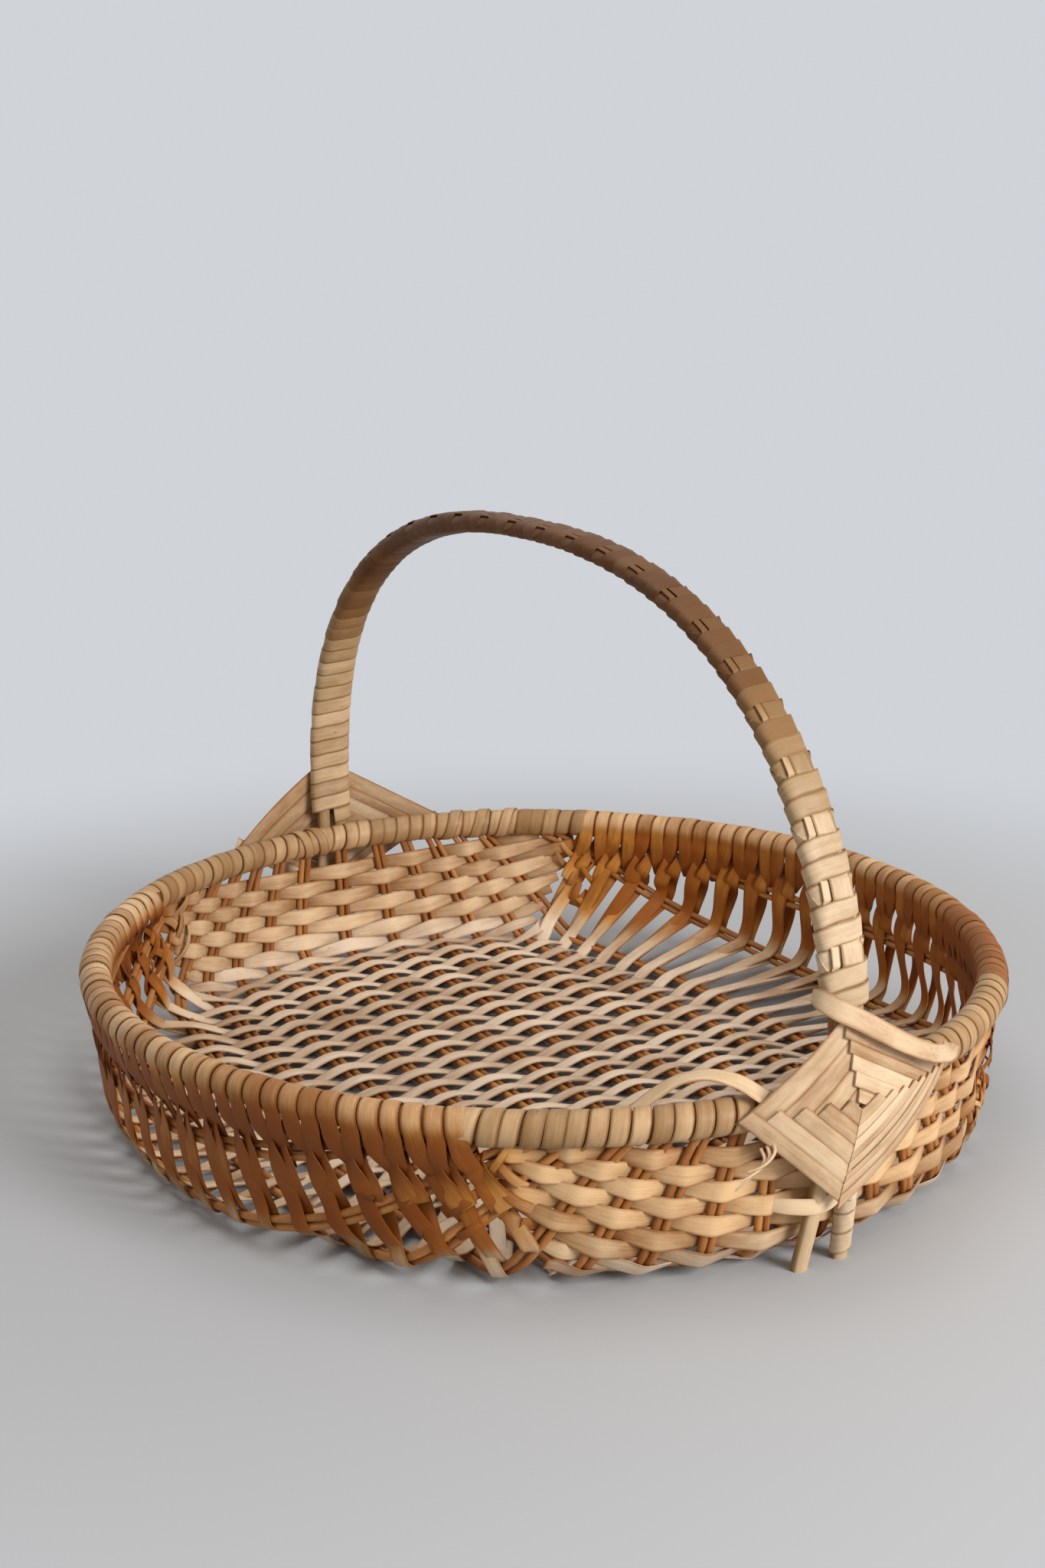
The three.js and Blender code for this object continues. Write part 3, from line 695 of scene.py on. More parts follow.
def strand(knots, half_thickness, seed, step=1.9, bend=0.0, look=None):
    """A splint through knots: the face direction turns by the twist about the path. Bend is the length over
    which its bends are softened, or 0 for one smooth curve. It stays above the table."""
    knots = np.array(knots)
    rows = bent_rows(knots, step, bend) if bend else smooth_rows(knots, step)
    path, normal, half, twist = rows[:, :3], unit(rows[:, 3:6]), rows[:, 6], np.radians(rows[:, 7])
    path[:, 2] = np.maximum(path[:, 2], 0.9)
    along = unit(np.gradient(path, axis=0))
    side = unit(np.cross(along, normal))
    normal = unit(np.cross(side, along))
    normal = normal * np.cos(twist)[:, None] + side * np.sin(twist)[:, None]
    tone, hue = look or zone(path)
    part = sweep(path, normal, half, half_thickness, lens_section(10), seed, rows[:, 8] + tone, hue)
    part.points[:, 2] = np.maximum(part.points[:, 2], TABLE_GAP)
    return part


def rim_turn(theta, lean, way, half, tail_end, random):
    """Knots of a strand from just above the wall rib, over the rim and down to its tucked tail. Way is 1
    where it climbs outside and comes over the rim from inside, and -1 where it climbs inside and comes over
    from outside."""
    rows = []
    for height, out, share, twist, tone in CLIMB:
        point, outward = wall_frame(np.float64(theta(height)), np.float64(height))
        rows.append(knot(point + outward * out * way, -outward, half * share, twist, tone))
    centre_radius = HOOP_RADIUS + 0.75 + random.uniform(-0.1, 0.45)
    for turn in TURNS:
        angle = math.radians(turn)
        share = (TURNS[0] - turn) / (TURNS[0] - TURNS[-1])
        point, outward = wall_frame(np.float64(theta(RIM_HEIGHT) + TURN_LEAN * share), np.float64(RIM_HEIGHT))
        face = outward * math.cos(angle) * way + np.array([0, 0, math.sin(angle)])
        rows.append(knot(point + face * centre_radius, face * way, half * (0.98 + 0.08 * share)))
    drop = TAIL_TOP - tail_end
    for fall, out, share, move, tone in TAIL:
        angle = theta(RIM_HEIGHT) + TURN_LEAN + (lean - TURN_LEAN) * move
        point, outward = wall_frame(np.float64(angle), np.float64(TAIL_TOP - drop * fall))
        rows.append(knot(point + outward * out * way, outward, half * share, -8 * fall, tone))
    return rows


def side_strand(i, u0, pitch, rim_angle, seed, sizes, random):
    """A strand that crosses the floor and climbs both open sides, leaning a little towards the middle of
    each. Every other strand leans more, so that neighbours cross above the base edge."""
    half_floor = pitch * 0.48
    half_rim = sizes.splint_width / MM / 2
    big = i % 2 == 0
    base = BASE_SPREAD * rim_angle + math.radians(BASE_SWING if big else -BASE_SWING)
    middle = base * 0.45 + rim_angle * 0.55
    marks = [disc_to_grid(share * math.sin(angle), share * math.cos(angle))
             for share, angle in ((0.775, base), (0.88, middle), (0.985, rim_angle))]
    at = [0.40] + [abs(mark[1]) for mark in marks]
    values = [u0] + [mark[0] for mark in marks]

    def u_of_v(v):
        return np.interp(abs(v), at, values)

    def strip_at(u, v, side):
        share = disc_share(u, v)
        half = half_floor + (half_rim * 0.98 - half_floor) * smoothstep(share, 0.7, 0.85)
        # Painted shade: a little darker where the strand passes under a rib, lighter where it lies over one
        return weave_height(share), half, -0.07 * side

    rows = tray_knots(u_of_v, i, 0.86, strip_at)
    for v, k in ((-EDGE_TURN / PROFILE_LENGTH, 1), (EDGE_TURN / PROFILE_LENGTH, len(RIBS) - 2)):
        u = u_of_v(v)
        half = strip_at(u, v, 0)[1]
        normal = tray_normal(np.float64(u), np.float64(v))
        rows.append((v, knot(tray_point(u, v) + normal * (1.1 * over(i, k)), normal, half)))
    rows.sort(key=lambda row: row[0])
    ends = []
    for s in (-1, 1):
        def theta(height):
            angle = base + (rim_angle - base) * (height - 10) / 62
            return s * (math.pi / 2 - angle)

        lean = math.radians((3.4 if big else 1.5) + random.uniform(-0.4, 0.4))
        half = half_rim * (1.05 if big else 0.98) * random.uniform(0.95, 1.05)
        crossing = 1 if (s < 0 or i % 2) else -1
        point, outward = wall_frame(np.float64(theta(WALL_RIB_HEIGHT)), np.float64(WALL_RIB_HEIGHT))
        # Its tone paints shade where it passes behind the wall rib and light where it passes in front
        end = [knot(point + outward * 2.75 * crossing, -outward, half * 1.08, 0.0, 0.12 * s * crossing)]
        tail_end = (45 if big else 42.5) + random.uniform(-2, 2)
        ends.append(end + rim_turn(theta, lean, -s, half, tail_end, random))
    knots = ends[0][::-1] + [row for _, row in rows] + ends[1]
    return strand(taut(knots, 29.3, 7.0), sizes.splint_thickness / MM / 2, seed)


def panel_row(i, u0, pitch, seed, sizes):
    """A row that crosses an end panel between the two corners. It lies in straight spans, wide over a rib
    and narrow under it, and its ends go behind the corner."""
    end_v = row_end(u0)
    wall = smoothstep(abs(u0), 0.70, 0.76)

    def strip_at(u, v, side):
        share = disc_share(u, v)
        seen = -side if (share > PANEL_SHARE and u0 > 0) else side
        crowd = 1 - 0.24 * smoothstep(abs(v), 0.4, 0.8)
        half = pitch * crowd * (0.44 + wall * (0.07 + 0.09 * seen))
        # Painted shade: darker where the row goes under a rib, lighter where its seen face lies over one
        tone = wall * (0.06 - 0.17 * seen) - (1 - wall) * 0.07 * side
        return weave_height(share) + 0.45 * wall, half, tone

    knots = [row for _, row in tray_knots(lambda v: u0, i, end_v - 0.012, strip_at, between=True)]
    for end, s in ((0, -1), (-1, 1)):
        normal = tray_normal(np.float64(u0), np.float64(s * end_v))
        behind = 1.0 if knots[end][6] > pitch * 0.45 else -1.0
        # Tone 0.2 paints shade where the row's end goes behind the corner
        tip = knot(tray_point(u0, s * end_v) + normal * 1.6 * behind, normal, pitch * 0.3, 0.0, 0.2)
        knots.insert(0 if s < 0 else len(knots), tip)
    return strand(knots, sizes.splint_thickness / MM / 2, seed, bend=3.6 if wall > 0 else 6.0)


def solid_names(places):
    """Name of the solid weaver that each row stands for, where it stands for one: each solid takes the
    nearest row that is still free."""
    names = {}
    for j in range(SOLID_WEAVERS):
        u = -SOLID_REACH + j * (2 * SOLID_REACH / (SOLID_WEAVERS - 1))
        nearest = np.argsort(np.abs(places / PROFILE_LENGTH - u))
        row = next(int(i) for i in nearest if int(i) not in names)
        names[row] = f"weaver_{j + 1:02d}"
    return names


def build_weavers(sizes, splint):
    """Every weaver, from far to near: strands that cross the floor, climb both open sides and turn over the
    rim, and rows that cross the end panels and turn back at the corners."""
    places = weaver_places(sizes.near_pitch / MM, sizes.far_pitch / MM, sizes.panel_pitch / MM)
    random = np.random.default_rng(20)
    pitches = np.gradient(places)
    names = solid_names(places)
    for i, place in enumerate(places):
        u = place / PROFILE_LENGTH
        seed = i * 1.37 + 3
        if -SIDE_REACH[0] < place < SIDE_REACH[1]:
            part = side_strand(i, u, pitches[i], side_angle(place), seed, sizes, random)
        else:
            part = panel_row(i, u, pitches[i], seed, sizes)
        add_piece(f"splint_{i + 1:02d}", [part], splint, (names[i],) if i in names else ())


# Rim wrapping

def rim_wraps(start, end, pitch, half, seed, random, lift=0.0):
    """A splint wound round the hoop between two angles: one turn to each pitch, with the place in the
    section as the turn and the place on the rim growing steadily. A lift winds it over the turns that are
    there already."""
    turns = abs(end - start) * RIM_MEAN / pitch
    turn = np.linspace(-math.pi / 2, 2 * math.pi * turns - math.pi / 2, int(turns * 26))
    share = (turn + math.pi / 2) / (2 * math.pi * turns)
    number = np.floor((turn + math.pi / 2) / (2 * math.pi)).astype(int)
    jitter = random.uniform(-1, 1, number.max() + 2)
    drift = np.interp(turn, 2 * math.pi * np.arange(len(jitter)) - math.pi / 2, jitter) * 0.7 / RIM_MEAN
    theta = start + (end - start) * share + drift
    point, outward = wall_frame(theta, np.full_like(theta, RIM_HEIGHT))
    face = outward * np.cos(turn)[:, None] + np.array([0, 0, 1.0]) * np.sin(turn)[:, None]
    radius = HOOP_RADIUS + 0.9 + lift + jitter[number] * 0.2
    path = point + face * radius[:, None]
    half_width = half * (1 + 0.05 * jitter[number])
    tone = 0.66 + 0.05 * jitter[number]
    return sweep(path, face, half_width, 0.72, lens_section(10, 0.6, 0.6), seed + number * 1.9, tone, 0.64)


# Handle

def bow(t):
    """Middle line of the handle from the far foot (0) to the near foot (1): a superellipse that leans back
    and a little towards the back at its top."""
    angle = math.pi * (1 - t)
    cosine, sine = np.cos(angle), np.maximum(np.sin(angle), 0)
    climb = sine ** (2 / HANDLE_POWER)
    x = HANDLE_X * np.sign(cosine) * np.abs(cosine) ** (2 / HANDLE_POWER) + HANDLE_LEAN * climb
    return np.stack([x, HANDLE_TILT * climb, HANDLE_SPRING + (HANDLE_TOP - HANDLE_SPRING) * climb], axis=-1)


def even_bow(step):
    """The handle's line with its legs, in even steps: points, outward directions and lengths along it."""
    shares = [np.linspace(0, 0.02, 60)[:-1], np.linspace(0.02, 0.98, 400), np.linspace(0.98, 1, 60)[1:]]
    knee = FOOT_X + (HANDLE_X - FOOT_X) * 0.5
    leg = np.array([[FOOT_X, 0, 0], [knee, 0, 31], [HANDLE_X, 0, 62], [HANDLE_X, 0, 75]])
    path = np.vstack([leg * [-1, 1, 1], bow(np.concatenate(shares)), leg[::-1]])
    length = run_length(path)
    s = np.arange(0, length[-1], step)
    points = softened(columns_at(s, length, path), np.hanning(15))
    along = unit(np.gradient(points, axis=0))
    outward = np.stack([-along[:, 2], 0 * s, along[:, 0]], axis=-1)
    return points, outward, s


def girth(points):
    """How broad the handle is against its named width: broadest on the far leg, slimmest at the near
    shoulder."""
    high = smoothstep(points[:, 2], 120, 262)
    near = 1.17 - 0.25 * high + 0.05 * smoothstep(points[:, 2], 262, 274)
    return np.where(points[:, 0] < 0, 1.28 - 0.31 * high, near)


def rod_path(side):
    """Middle line of one rod of the bow and its outward directions: beside the other rod above, apart at
    the feet."""
    points, outward, _ = even_bow(2.5)
    splay = np.clip(1 - points[:, 2] / 70, 0, 1)
    path = points.copy()
    beside = ROD_SPACING * (1 + (girth(points) - 1) * 0.8)
    path[:, 1] += side * (beside + (FOOT_SPLAY - beside) * splay) + FOOT_SHIFT * splay
    path[0, 2] = path[-1, 2] = 0.0
    level = np.array([[1.0, 0, 0]]) * np.sign(points[:, :1])
    return path, np.where(points[:, 2:3] < 3, level, outward)


def handle_rod(side):
    """One rod of the bow, splayed at its feet."""
    path, normal = rod_path(side)
    low = 1 - smoothstep(path[:, 2], 20, 70)
    return sweep(path, normal, 3.9, 3.0, round_section(16), 60 + side, 0.72 - 0.22 * low, 0.55 - 0.05 * low)


def foot_wrap():
    """A flat splint wound three and a half turns round the back rod of the near foot, each turn touching
    the last."""
    path, _ = rod_path(1)
    path = path[path[:, 0] > 0][::-1]
    path = path[path[:, 2] < FOOT_WRAP_TOP]
    length = run_length(path)
    turns = (length[-1] - 2 * FOOT_WRAP_END) / FOOT_WRAP_PITCH
    turn = np.linspace(0, 2 * math.pi * turns, int(turns * 24))
    centre = columns_at(FOOT_WRAP_END + turn / (2 * math.pi) * FOOT_WRAP_PITCH, length, path)
    turn = turn + 0.6
    along = unit(np.gradient(centre, axis=0))
    first = unit(np.cross(along, np.array([0, 1.0, 0])))
    second = np.cross(along, first)
    face = first * np.cos(turn)[:, None] + second * np.sin(turn)[:, None]
    radius = 3.6 + 0.35 * (turn % (2 * math.pi) > 3)[:, None]
    return sweep(centre + face * radius, face, 4.7, 0.5, lens_section(10), seed=401.0, tone=0.3, hue=0.3)


def wrapped_span(step):
    """The stretch of the handle that is wrapped, above the diamonds: points, outward directions and
    lengths."""
    points, outward, s = even_bow(step)
    inside = points[:, 2] > np.where(points[:, 0] < 0, *BINDING_END)
    return points[inside], outward[inside], s[inside] - s[inside][0]


def handle_look(points):
    """Tone and hue of the handle: olive brown at the top, tan on the far leg and pale cream on the near
    leg."""
    high = smoothstep(points[:, 2], 165, 258)
    near = points[:, 0] > 0
    tone = np.where(near, 0.50, 0.52) * (1 - high) + 1.4 * high
    return tone, np.where(near, 0.32, 0.52) * (1 - high) + 0.66 * high


def handle_thickness(points):
    """Half thickness of the wrapped handle: 3.7 on the legs, 4.6 at the far shoulder and 3.1 at the near
    one."""
    high = smoothstep(points[:, 2], 130, 250)
    return 3.7 - high * (0.6 - 1.5 * smoothstep(-points[:, 0], 0, 110))


def handle_wrapping(random):
    """A splint wound round both rods, one turn to each pitch. The section is a superellipse, each turn is
    tilted like a shingle, and its outer face drops where the lengthwise splints cross over it. A turn is
    counted from the back."""
    points, outward, s = wrapped_span(0.8)
    turns = s[-1] / WRAP_PITCH
    turn = np.linspace(0, 2 * math.pi * turns, int(turns * 44)) - math.pi / 2
    at = (turn + math.pi / 2) / (2 * math.pi) * WRAP_PITCH
    number = np.floor(turn / (2 * math.pi)).astype(int) + 1
    centre = columns_at(at, s, points)
    out = unit(columns_at(at, s, outward))
    side = np.array([0, 1.0, 0])
    jitter = random.uniform(-1, 1, number.max() + 1)[number]
    cosine, sine = np.cos(turn), np.sin(turn)
    across = np.sign(cosine) * np.abs(cosine) ** 0.62
    through = np.sign(sine) * np.abs(sine) ** 0.72
    window = ((number - 1) % WINDOW_PERIOD == 0) * smoothstep(sine, 0.0, 0.35)
    grow = 0.5 + jitter * 0.12
    path = (centre + side * (across * (HANDLE_HALF_WIDTH * girth(centre) + grow))[:, None]
            + out * (through * (handle_thickness(centre) + grow) - window * 0.9)[:, None])
    side_share = (cosine * np.abs(cosine) ** 0.3)[:, None]
    out_share = (sine * np.abs(sine) ** 0.1 * 1.4)[:, None]
    normal = unit(unit(side * side_share + out * out_share) + unit(np.gradient(centre, axis=0)) * 0.06)
    tone, hue = handle_look(centre)
    tone = tone + jitter * (0.03 + 0.1 * (tone > 0.9))
    return sweep(path, normal, 4.25, 0.55, lens_section(10, 0.6, 0.6), 90 + number * 2.3, tone, hue)


def lengthwise_splint(centre_y, width, seed, sunk=0.0):
    """A splint that runs along the handle's outer face, over every third wrap and under the two between."""
    points, outward, s = wrapped_span(0.5)
    place = (s / WRAP_PITCH) % WINDOW_PERIOD
    window = smoothstep(place, -0.02, 0.1) * (1 - smoothstep(place, 0.9, 1.02))
    rise = handle_thickness(points) - 0.15 - sunk + window * 0.95
    path = points + outward * rise[:, None]
    path[:, 1] += centre_y * girth(points) + 0.3 * np.sin(s / 31 + seed)
    tone, hue = handle_look(points)
    return sweep(path, outward, width / 2 * girth(points), 0.42, lens_section(12, 0.5, 0.5), seed,
                 tone - 0.1, hue)


# Woven diamonds

def diamond_surface(sign, y, z, reach):
    """Point over the crossing of handle and rim, at a distance y to the side and a height z over the
    middle: flat against the handle, it bends back to the rim with the square of y, and a little under the
    rim with the depth."""
    rim = RIM_HALF_LENGTH * math.sqrt(1 - (reach / RIM_HALF_WIDTH) ** 2) + 7.6
    x = DIAMOND_X - 1.2 + (rim - DIAMOND_X) * (y / reach) ** 2 - 2.5 * smoothstep(-z, 12, 46)
    return np.stack([sign * x, y, DIAMOND_HEIGHT + z], axis=-1)


def diamond_strip(sign, arms, quadrant, low, high, seed, slip):
    """A flat strip from one arm of the crossing to the next, between two shares of their lengths: every
    point is a share of the straight line between the arms' tips, so its ends are cut along the arms. Where
    its layer is the higher one at a side arm or the top arm, its end is cut square instead and lies over
    the strips beyond the arm."""
    a, b = np.array(arms[quadrant]), np.array(arms[(quadrant + 1) % 4])
    span = np.linalg.norm(b - a)
    way = (b - a) / span
    start, finish = DIAMOND_LAYERS[quadrant]
    side_reach = abs(arms[1][0]) if quadrant < 2 else abs(arms[3][0])
    across, through = lens_section(10)
    flat = np.zeros((DIAMOND_ROWS, 3))
    flat[:, 1] = np.linspace(0, span * high, DIAMOND_ROWS)
    part = sweep(flat, np.array([[0, 0, 1.0]]), 1.0, 0.4, (across, through), seed, tone=0.55, hue=0.36)
    share = np.clip((low + high) / 2 + across * (high - low) / 2 * 1.06, 0.03, 1.03)
    first = np.full(share.shape, -0.03)
    last = np.full(share.shape, 1.03)
    if quadrant in (0, 1):
        first = (high * (a @ way) - 0.3 - share * (a @ way)) / (share * span) * (0.55, 0.8)[quadrant]
    if quadrant == 2:
        last = (high * (b @ way) + 0.3 - share * (a @ way)) / (share * span)
    t = first + (last - first) * np.linspace(0, 1, DIAMOND_ROWS)[:, None]
    place = share[None, :, None] * (a + (b - a) * t[..., None])
    path = diamond_surface(sign, place[..., 0], place[..., 1] + slip, side_reach)
    normal = np.zeros_like(path)
    normal[..., 0] = sign
    normal[..., 1] = 28 * place[..., 0] / side_reach ** 2
    height = 0.8 + 3.4 * (1 - share) + start + (finish - start) * np.clip(t, 0, 1) + 0.5 * through
    path = path + unit(normal) * height[..., None]
    middle = (low + high) / 2
    width = np.linalg.norm((share[:, None] - middle) * (a + b)[None, :] / 2, axis=-1) * np.sign(across)
    part.strip[:, 1] = np.tile(width, DIAMOND_ROWS)
    return part._replace(points=path.reshape(-1, 3), quads=part.quads[:, ::-1] if sign > 0 else part.quads)


def gods_eye(sign, random):
    """Strips wound over four arms from the middle outwards, a quadrant at a time, each a little lower than
    the last."""
    arms = NEAR_ARMS if sign > 0 else FAR_ARMS
    parts = []
    for quadrant, edges in enumerate(DIAMOND_EDGES):
        for low, high in zip(edges[:-1], edges[1:]):
            slip = random.uniform(-0.4, 0.4)
            seed = 200 + len(parts) * 1.7 + sign
            parts.append(diamond_strip(sign, arms, quadrant, low, high, seed, slip))
    return parts


def loose_strip(rows, seed, tone, hue):
    """A splint through free places: rows of x, y, z, face direction and half width."""
    knots = [knot(np.array(row[:3], float), np.array(row[3:6], float), row[6]) for row in rows]
    return strand(knots, 0.45, seed, 1.2, look=(tone, hue))


def loose_ends():
    """The strips that don't belong to a regular row: one laid over the top of the near diamond down to its
    right corner, one arched over the rim beside it, one row end across the front foot, and a few frayed
    hairs."""
    top = loose_strip([
        (226, -12, 118, 0.2, -1, 0.3, 3.0), (231, -13.5, 119, 0.5, -1, 0.4, 4.0),
        (238.5, -10.5, 116.5, 1, -0.5, 0.3, 4.3), (242.5, -2, 111.5, 1, 0, 0.2, 4.3),
        (243.6, 10, 104, 1, 0.1, 0.3, 4.3), (241.8, 26, 94.5, 1, 0.2, 0.4, 4.2),
        (237.5, 43, 86, 1, 0.3, 0.6, 4.1), (231, 56, 81.5, 0.8, 0.3, 0.8, 4.0),
        (222, 66, 79.5, 0.2, 0.2, 1, 3.8)], seed=311.0, tone=0.42, hue=0.34)
    arch = loose_strip([
        (196, -77, 73.0, 0.1, -0.6, 1, 3.6), (199, -69, 79.5, 0.1, -0.3, 1, 4.0),
        (203, -59, 85.4, 0.1, 0, 1, 4.2), (209, -50, 87.6, 0.3, 0.1, 1, 4.2),
        (217, -42, 86.0, 0.6, 0, 1, 4.0), (227, -35, 81.0, 0.8, 0, 0.8, 3.8)], seed=317.0, tone=0.5, hue=0.4)
    across = loose_strip([
        (217, -30, 31, 1, -0.2, 0, 3.0), (227, -20, 30.5, 1, -0.2, 0, 3.5), (231, -10, 30, 1, 0, 0, 3.6),
        (229, 0, 30.5, 1, 0.2, 0, 3.6), (222, 9, 31, 0.8, 0.4, 0, 3.2)], seed=323.0, tone=0.36, hue=0.4)
    hairs = [loose_strip([
        (231 - k, -34 - 2.2 * k, 63 - k, 0.2, 0, 1, 0.75),
        (236, -37 - 2.5 * k, 62 - 1.4 * k, 0.2, 0, 1, 0.7),
        (239 - k * 0.7, -44 - 2.8 * k, 59.5 - 2.1 * k, 0.3, 0, 1, 0.5),
        (238.5 - k, -52 - 2.2 * k, 58 - 3.6 * k, 0.3, 0, 1, 0.25)], seed=331.0 + k, tone=0.35, hue=0.3)
        for k in range(3)]
    return [top, arch, across] + hairs


def corner_curls(random):
    """Short splint ends that stand out of the weave at the four corners: each leaves the wall, curls
    outwards and drops back, as an arc of about a third of a turn."""
    parts = []
    for number, corner in enumerate(CORNERS):
        inside = -1 if abs(corner) > 2 else 1
        for k in range(CURLS_PER_CORNER):
            theta = corner + random.uniform(-0.08, 0.08)
            height = random.uniform(22, 58)
            point, out = wall_frame(np.float64(theta), np.float64(height))
            round_way = np.array([-math.sin(theta), math.cos(theta), 0])
            lean = random.uniform(0.3, 1.6) * (1 if k % 2 else -1)
            half = random.uniform(1.4, 2.9)
            size = random.uniform(9, 18)
            way = unit(np.array([0, 0, 1.0]) + round_way * lean)
            rows = []
            for share in (-0.35, 0.0, 0.35, 0.7, 1.0):
                bulge = (3.4 - 9.0 * (share - 0.42) ** 2) * inside
                face = out + way * (share - 0.4) * 0.7
                rows.append(knot(point + way * (share * size) + out * bulge, face, half * (1 - 0.3 * share)))
            parts.append(strand(rows, 0.45, 340.0 + number * CURLS_PER_CORNER + k, 1.2))
    return parts


# Stage

def floor_disc(colours):
    """A flat disc under the basket, made of rings, that fades into the backdrop."""
    turn = np.linspace(0, 2 * math.pi, DISC_SIDES + 1)[:-1]
    x, y = DISC_RADII[:, None] * np.cos(turn), DISC_RADII[:, None] * np.sin(turn)
    ring = np.arange(DISC_SIDES)
    following = (ring + 1) % DISC_SIDES
    rows = np.arange(len(DISC_RADII) - 1)[:, None] * DISC_SIDES
    quads = np.stack([rows + ring, rows + DISC_SIDES + ring, rows + DISC_SIDES + following,
                      rows + following], axis=-1)
    mesh = bpy.data.meshes.new("floor")
    points = np.stack([x, y, 0 * x], axis=-1).reshape(-1, 3)
    mesh.from_pydata(points.tolist(), [], quads.reshape(-1, 4).tolist() + [ring.tolist()])
    mesh.polygons.foreach_set("use_smooth", np.ones(len(mesh.polygons), dtype=bool))
    mesh.materials.append(floor_finish("floor", tuple(colours.floor_colour), tuple(colours.wall_colour),
                                       0.85))
    floor = bpy.data.objects.new("floor", mesh)
    bpy.context.scene.collection.objects.link(floor)


def room(colours):
    """Even light from all round. The camera and mirrored rays see the plain backdrop colour instead."""
    world = bpy.data.worlds.new("studio")
    shader = Shader(world)
    light = shader.node("ShaderNodeBackground", None, {"Color": ROOM_LIGHT, "Strength": ROOM_STRENGTH})
    backdrop = shader.node("ShaderNodeBackground", None, {"Color": tuple(colours.wall_colour)})
    camera, glossy, transmission = (shader.node("ShaderNodeLightPath", None, None, f"Is {ray} Ray")
                                    for ray in ("Camera", "Glossy", "Transmission"))
    seen = camera + glossy + transmission
    surface = shader.node("ShaderNodeMixShader", None, {0: seen, 1: light, 2: backdrop})
    shader.node("ShaderNodeOutputWorld", None, {"Surface": surface})
    bpy.context.scene.world = world


def lamp(name, place, target, size, power):
    """A round area lamp that shines on a target along its -Z."""
    light = bpy.data.lights.new(name, "AREA")
    light.shape = "DISK"
    light.size = size
    light.energy = power
    holder = bpy.data.objects.new(name, light)
    aim = np.array(target, float) - np.array(place, float)
    holder.rotation_euler = Vector(aim).to_track_quat("-Z", "Y").to_euler()
    holder.location = place
    bpy.context.scene.collection.objects.link(holder)


def camera_matrix(place, azimuth, elevation, roll):
    """Camera that looks down by the elevation along the azimuth, turned by the roll about its own axis."""
    az, el, ro = (math.radians(value) for value in (azimuth, elevation, roll))
    forward = np.array([-math.sin(az) * math.cos(el), math.cos(az) * math.cos(el), -math.sin(el)])
    right = np.array([math.cos(az), math.sin(az), 0.0])
    up = np.cross(right, forward)
    columns = np.eye(4)
    columns[:3, 0] = right * math.cos(ro) + up * math.sin(ro)
    columns[:3, 1] = up * math.cos(ro) - right * math.sin(ro)
    columns[:3, 2] = -forward
    columns[:3, 3] = place
    return Matrix(columns.tolist())


def photograph_camera():
    """The camera at the photograph's place, angle and lens."""
    data = bpy.data.cameras.new("camera")
    data.sensor_fit = "VERTICAL"
    data.sensor_height = SENSOR_HEIGHT
    data.lens = CAMERA_LENS
    camera = bpy.data.objects.new("camera", data)
    camera.matrix_world = camera_matrix(CAMERA_PLACE, CAMERA_AZIMUTH, CAMERA_ELEVATION, CAMERA_ROLL)
    bpy.context.scene.collection.objects.link(camera)
    bpy.context.scene.camera = camera


# Add-on

class BasketSizes(bpy.types.PropertyGroup):
    """Sizes of the woven pieces."""

    near_pitch: bpy.props.FloatProperty(
        name="Near Floor Pitch", description="Distance from weaver to weaver on the near half of the floor",
        default=0.0069, min=0.004, max=0.02, unit="LENGTH")
    far_pitch: bpy.props.FloatProperty(
        name="Far Floor Pitch", description="Distance from weaver to weaver on the far half of the floor",
        default=0.0085, min=0.004, max=0.02, unit="LENGTH")
    panel_pitch: bpy.props.FloatProperty(
        name="Panel Pitch", description="Distance from row to row on the end panels",
        default=0.0079, min=0.004, max=0.02, unit="LENGTH")
    splint_width: bpy.props.FloatProperty(
        name="Splint Width", description="Width of a splint where it turns over the rim",
        default=0.0076, min=0.004, max=0.012, unit="LENGTH")
    splint_thickness: bpy.props.FloatProperty(
        name="Splint Thickness", description="Thickness of a splint at its middle",
        default=0.0010, min=0.0004, max=0.002, unit="LENGTH")


class BasketColours(bpy.types.PropertyGroup):
    """Colours of the wood."""

    splint_light: bpy.props.FloatVectorProperty(
        name="Light Splint", description="Palest colour of the weavers",
        subtype="COLOR", size=4, min=0, max=1, default=(0.78, 0.57, 0.35, 1.0))
    splint_dark: bpy.props.FloatVectorProperty(
        name="Dark Splint", description="Darkest colour of the weavers",
        subtype="COLOR", size=4, min=0, max=1, default=(0.27, 0.115, 0.032, 1.0))
    rod_light: bpy.props.FloatVectorProperty(
        name="Light Rod", description="Palest colour of the ribs",
        subtype="COLOR", size=4, min=0, max=1, default=(0.50, 0.25, 0.09, 1.0))
    rod_dark: bpy.props.FloatVectorProperty(
        name="Dark Rod", description="Darkest colour of the ribs",
        subtype="COLOR", size=4, min=0, max=1, default=(0.24, 0.09, 0.025, 1.0))
    wrap_light: bpy.props.FloatVectorProperty(
        name="Light Wrapping", description="Palest colour of the rim's and the handle's wrapping",
        subtype="COLOR", size=4, min=0, max=1, default=(0.70, 0.51, 0.31, 1.0))
    wrap_dark: bpy.props.FloatVectorProperty(
        name="Dark Wrapping", description="Darkest colour of the rim's and the handle's wrapping",
        subtype="COLOR", size=4, min=0, max=1, default=(0.26, 0.135, 0.050, 1.0))
    floor_colour: bpy.props.FloatVectorProperty(
        name="Floor", description="Colour of the surface under the basket",
        subtype="COLOR", size=4, min=0, max=1, default=(0.430, 0.435, 0.445, 1.0))
    wall_colour: bpy.props.FloatVectorProperty(
        name="Backdrop", description="Colour of the backdrop",
        subtype="COLOR", size=4, min=0, max=1, default=(0.628, 0.652, 0.690, 1.0))


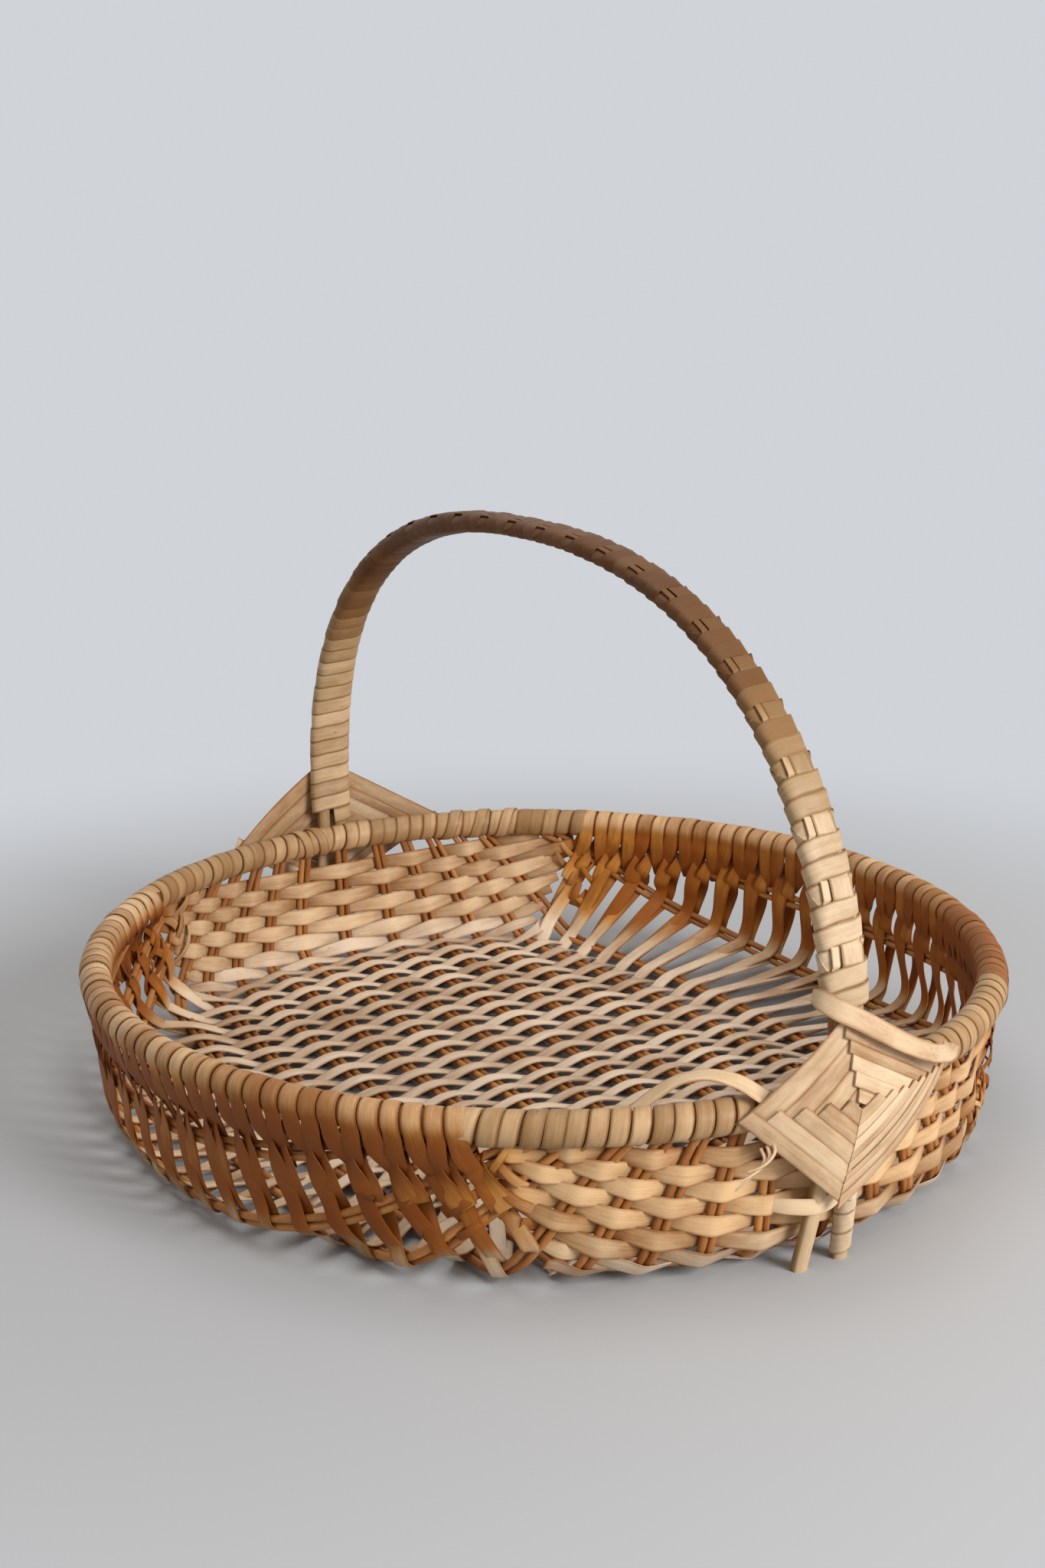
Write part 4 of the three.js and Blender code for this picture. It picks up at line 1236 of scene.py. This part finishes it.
class BASKET_OT_stage(bpy.types.Operator):
    """Set up the pale floor, the soft light and the camera"""

    bl_idname = "basket.stage"
    bl_label = "Stage"

    def execute(self, context):
        floor_disc(context.scene.basket_colours)
        room(context.scene.basket_colours)
        for settings in LAMPS:
            lamp(*settings)
        photograph_camera()
        context.scene.view_settings.view_transform = "Standard"
        return {"FINISHED"}


class BASKET_OT_ribs(bpy.types.Operator):
    """Make the hoop of the rim and the pairs of rods that carry the weave"""

    bl_idname = "basket.ribs"
    bl_label = "Ribs and Hoop"

    def execute(self, context):
        add_piece("rim_hoop", [hoop()], rod_wood(), ("rim_frame",))
        for k, place in enumerate(RIBS):
            replaced = (NAMED_RIBS[k],) if k in NAMED_RIBS else ()
            rods = rib_rods(place / PROFILE_LENGTH, 5.0 + k)
            add_piece(f"rib_pair_{k + 1:02d}", rods, rod_wood(), replaced)
        return {"FINISHED"}


class BASKET_OT_weavers(bpy.types.Operator):
    """Weave the splints through the ribs"""

    bl_idname = "basket.weavers"
    bl_label = "Weavers"

    def execute(self, context):
        build_weavers(context.scene.basket_sizes, splint_wood())
        return {"FINISHED"}


class BASKET_OT_rim_wrapping(bpy.types.Operator):
    """Wind the splint round the rim over both end panels"""

    bl_idname = "basket.rim_wrapping"
    bl_label = "Rim Wrapping"

    def execute(self, context):
        random = np.random.default_rng(8)
        near = rim_wraps(-WRAPPED_REACH, WRAPPED_REACH, RIM_WRAP_PITCH, RIM_WRAP_HALF, 300.0, random)
        far = rim_wraps(math.pi - WRAPPED_REACH, math.pi + WRAPPED_REACH, RIM_WRAP_PITCH, RIM_WRAP_HALF,
                        300.0 + math.pi, random)
        mended_back = rim_wraps(math.radians(150), math.radians(163), 16.0, 3.2, 361.0, random, 1.1)
        mended_front = rim_wraps(math.radians(-171), math.radians(-177), 11.0, 2.9, 371.0, random, 1.1)
        add_piece("rim_wrapping_near", [near], wrap_wood(), ("rim_binding",))
        add_piece("rim_wrapping_far", [far, mended_back, mended_front], wrap_wood())
        return {"FINISHED"}


class BASKET_OT_handle(bpy.types.Operator):
    """Bend the two rods of the handle, wrap them and lay two splints along the outer face"""

    bl_idname = "basket.handle"
    bl_label = "Handle"

    def execute(self, context):
        wrapping = handle_wrapping(np.random.default_rng(4))
        narrow = lengthwise_splint(-5.1, 3.4, 71.0, 0.35)
        wide = lengthwise_splint(1.7, 9.4, 75.0)
        add_piece("bow_rod_front", [handle_rod(-1)], wrap_wood(), ("handle_rod_front",))
        add_piece("bow_rod_back", [handle_rod(1)], wrap_wood(), ("handle_rod_back",))
        add_piece("foot_wrapping", [foot_wrap()], wrap_wood())
        add_piece("handle_wrapping", [wrapping], wrap_wood(), ("handle_binding",))
        add_piece("lengthwise_narrow", [narrow], wrap_wood(), ("handle_splint_narrow",))
        add_piece("lengthwise_wide", [wide], wrap_wood(), ("handle_splint_wide",))
        return {"FINISHED"}


class BASKET_OT_gods_eyes(bpy.types.Operator):
    """Wind the diamonds over the two crossings of handle and rim, and lay the loose ends"""

    bl_idname = "basket.gods_eyes"
    bl_label = "Woven Diamonds"

    def execute(self, context):
        random = np.random.default_rng(12)
        add_piece("diamond_near", gods_eye(1, random), splint_wood(), ("gods_eye_near",))
        add_piece("diamond_far", gods_eye(-1, random), splint_wood(), ("gods_eye_far",))
        add_piece("loose_ends", loose_ends(), splint_wood())
        add_piece("corner_curls", corner_curls(random), splint_wood())
        return {"FINISHED"}


class BASKET_PT_panel(bpy.types.Panel):
    """Lists the steps that build the basket"""

    bl_idname = "BASKET_PT_panel"
    bl_label = "Harvest Basket"
    bl_space_type = "VIEW_3D"
    bl_region_type = "UI"
    bl_category = "Basket"

    def draw(self, context):
        for group in (context.scene.basket_sizes, context.scene.basket_colours):
            box = self.layout.box()
            for name in group.__annotations__:
                box.prop(group, name)
        for operator in OPERATORS:
            self.layout.operator(operator.bl_idname)


OPERATORS = (BASKET_OT_stage, BASKET_OT_ribs, BASKET_OT_weavers, BASKET_OT_rim_wrapping, BASKET_OT_handle,
             BASKET_OT_gods_eyes)
CLASSES = (BasketSizes, BasketColours) + OPERATORS + (BASKET_PT_panel,)


def register():
    for cls in CLASSES:
        bpy.utils.register_class(cls)
    bpy.types.Scene.basket_sizes = bpy.props.PointerProperty(type=BasketSizes)
    bpy.types.Scene.basket_colours = bpy.props.PointerProperty(type=BasketColours)


def unregister():
    del bpy.types.Scene.basket_colours
    del bpy.types.Scene.basket_sizes
    for cls in reversed(CLASSES):
        bpy.utils.unregister_class(cls)


def main():
    register()
    bpy.ops.basket.stage()
    bpy.ops.basket.ribs()
    bpy.ops.basket.weavers()
    bpy.ops.basket.rim_wrapping()
    bpy.ops.basket.handle()
    bpy.ops.basket.gods_eyes()


if __name__ == "__main__":
    main()
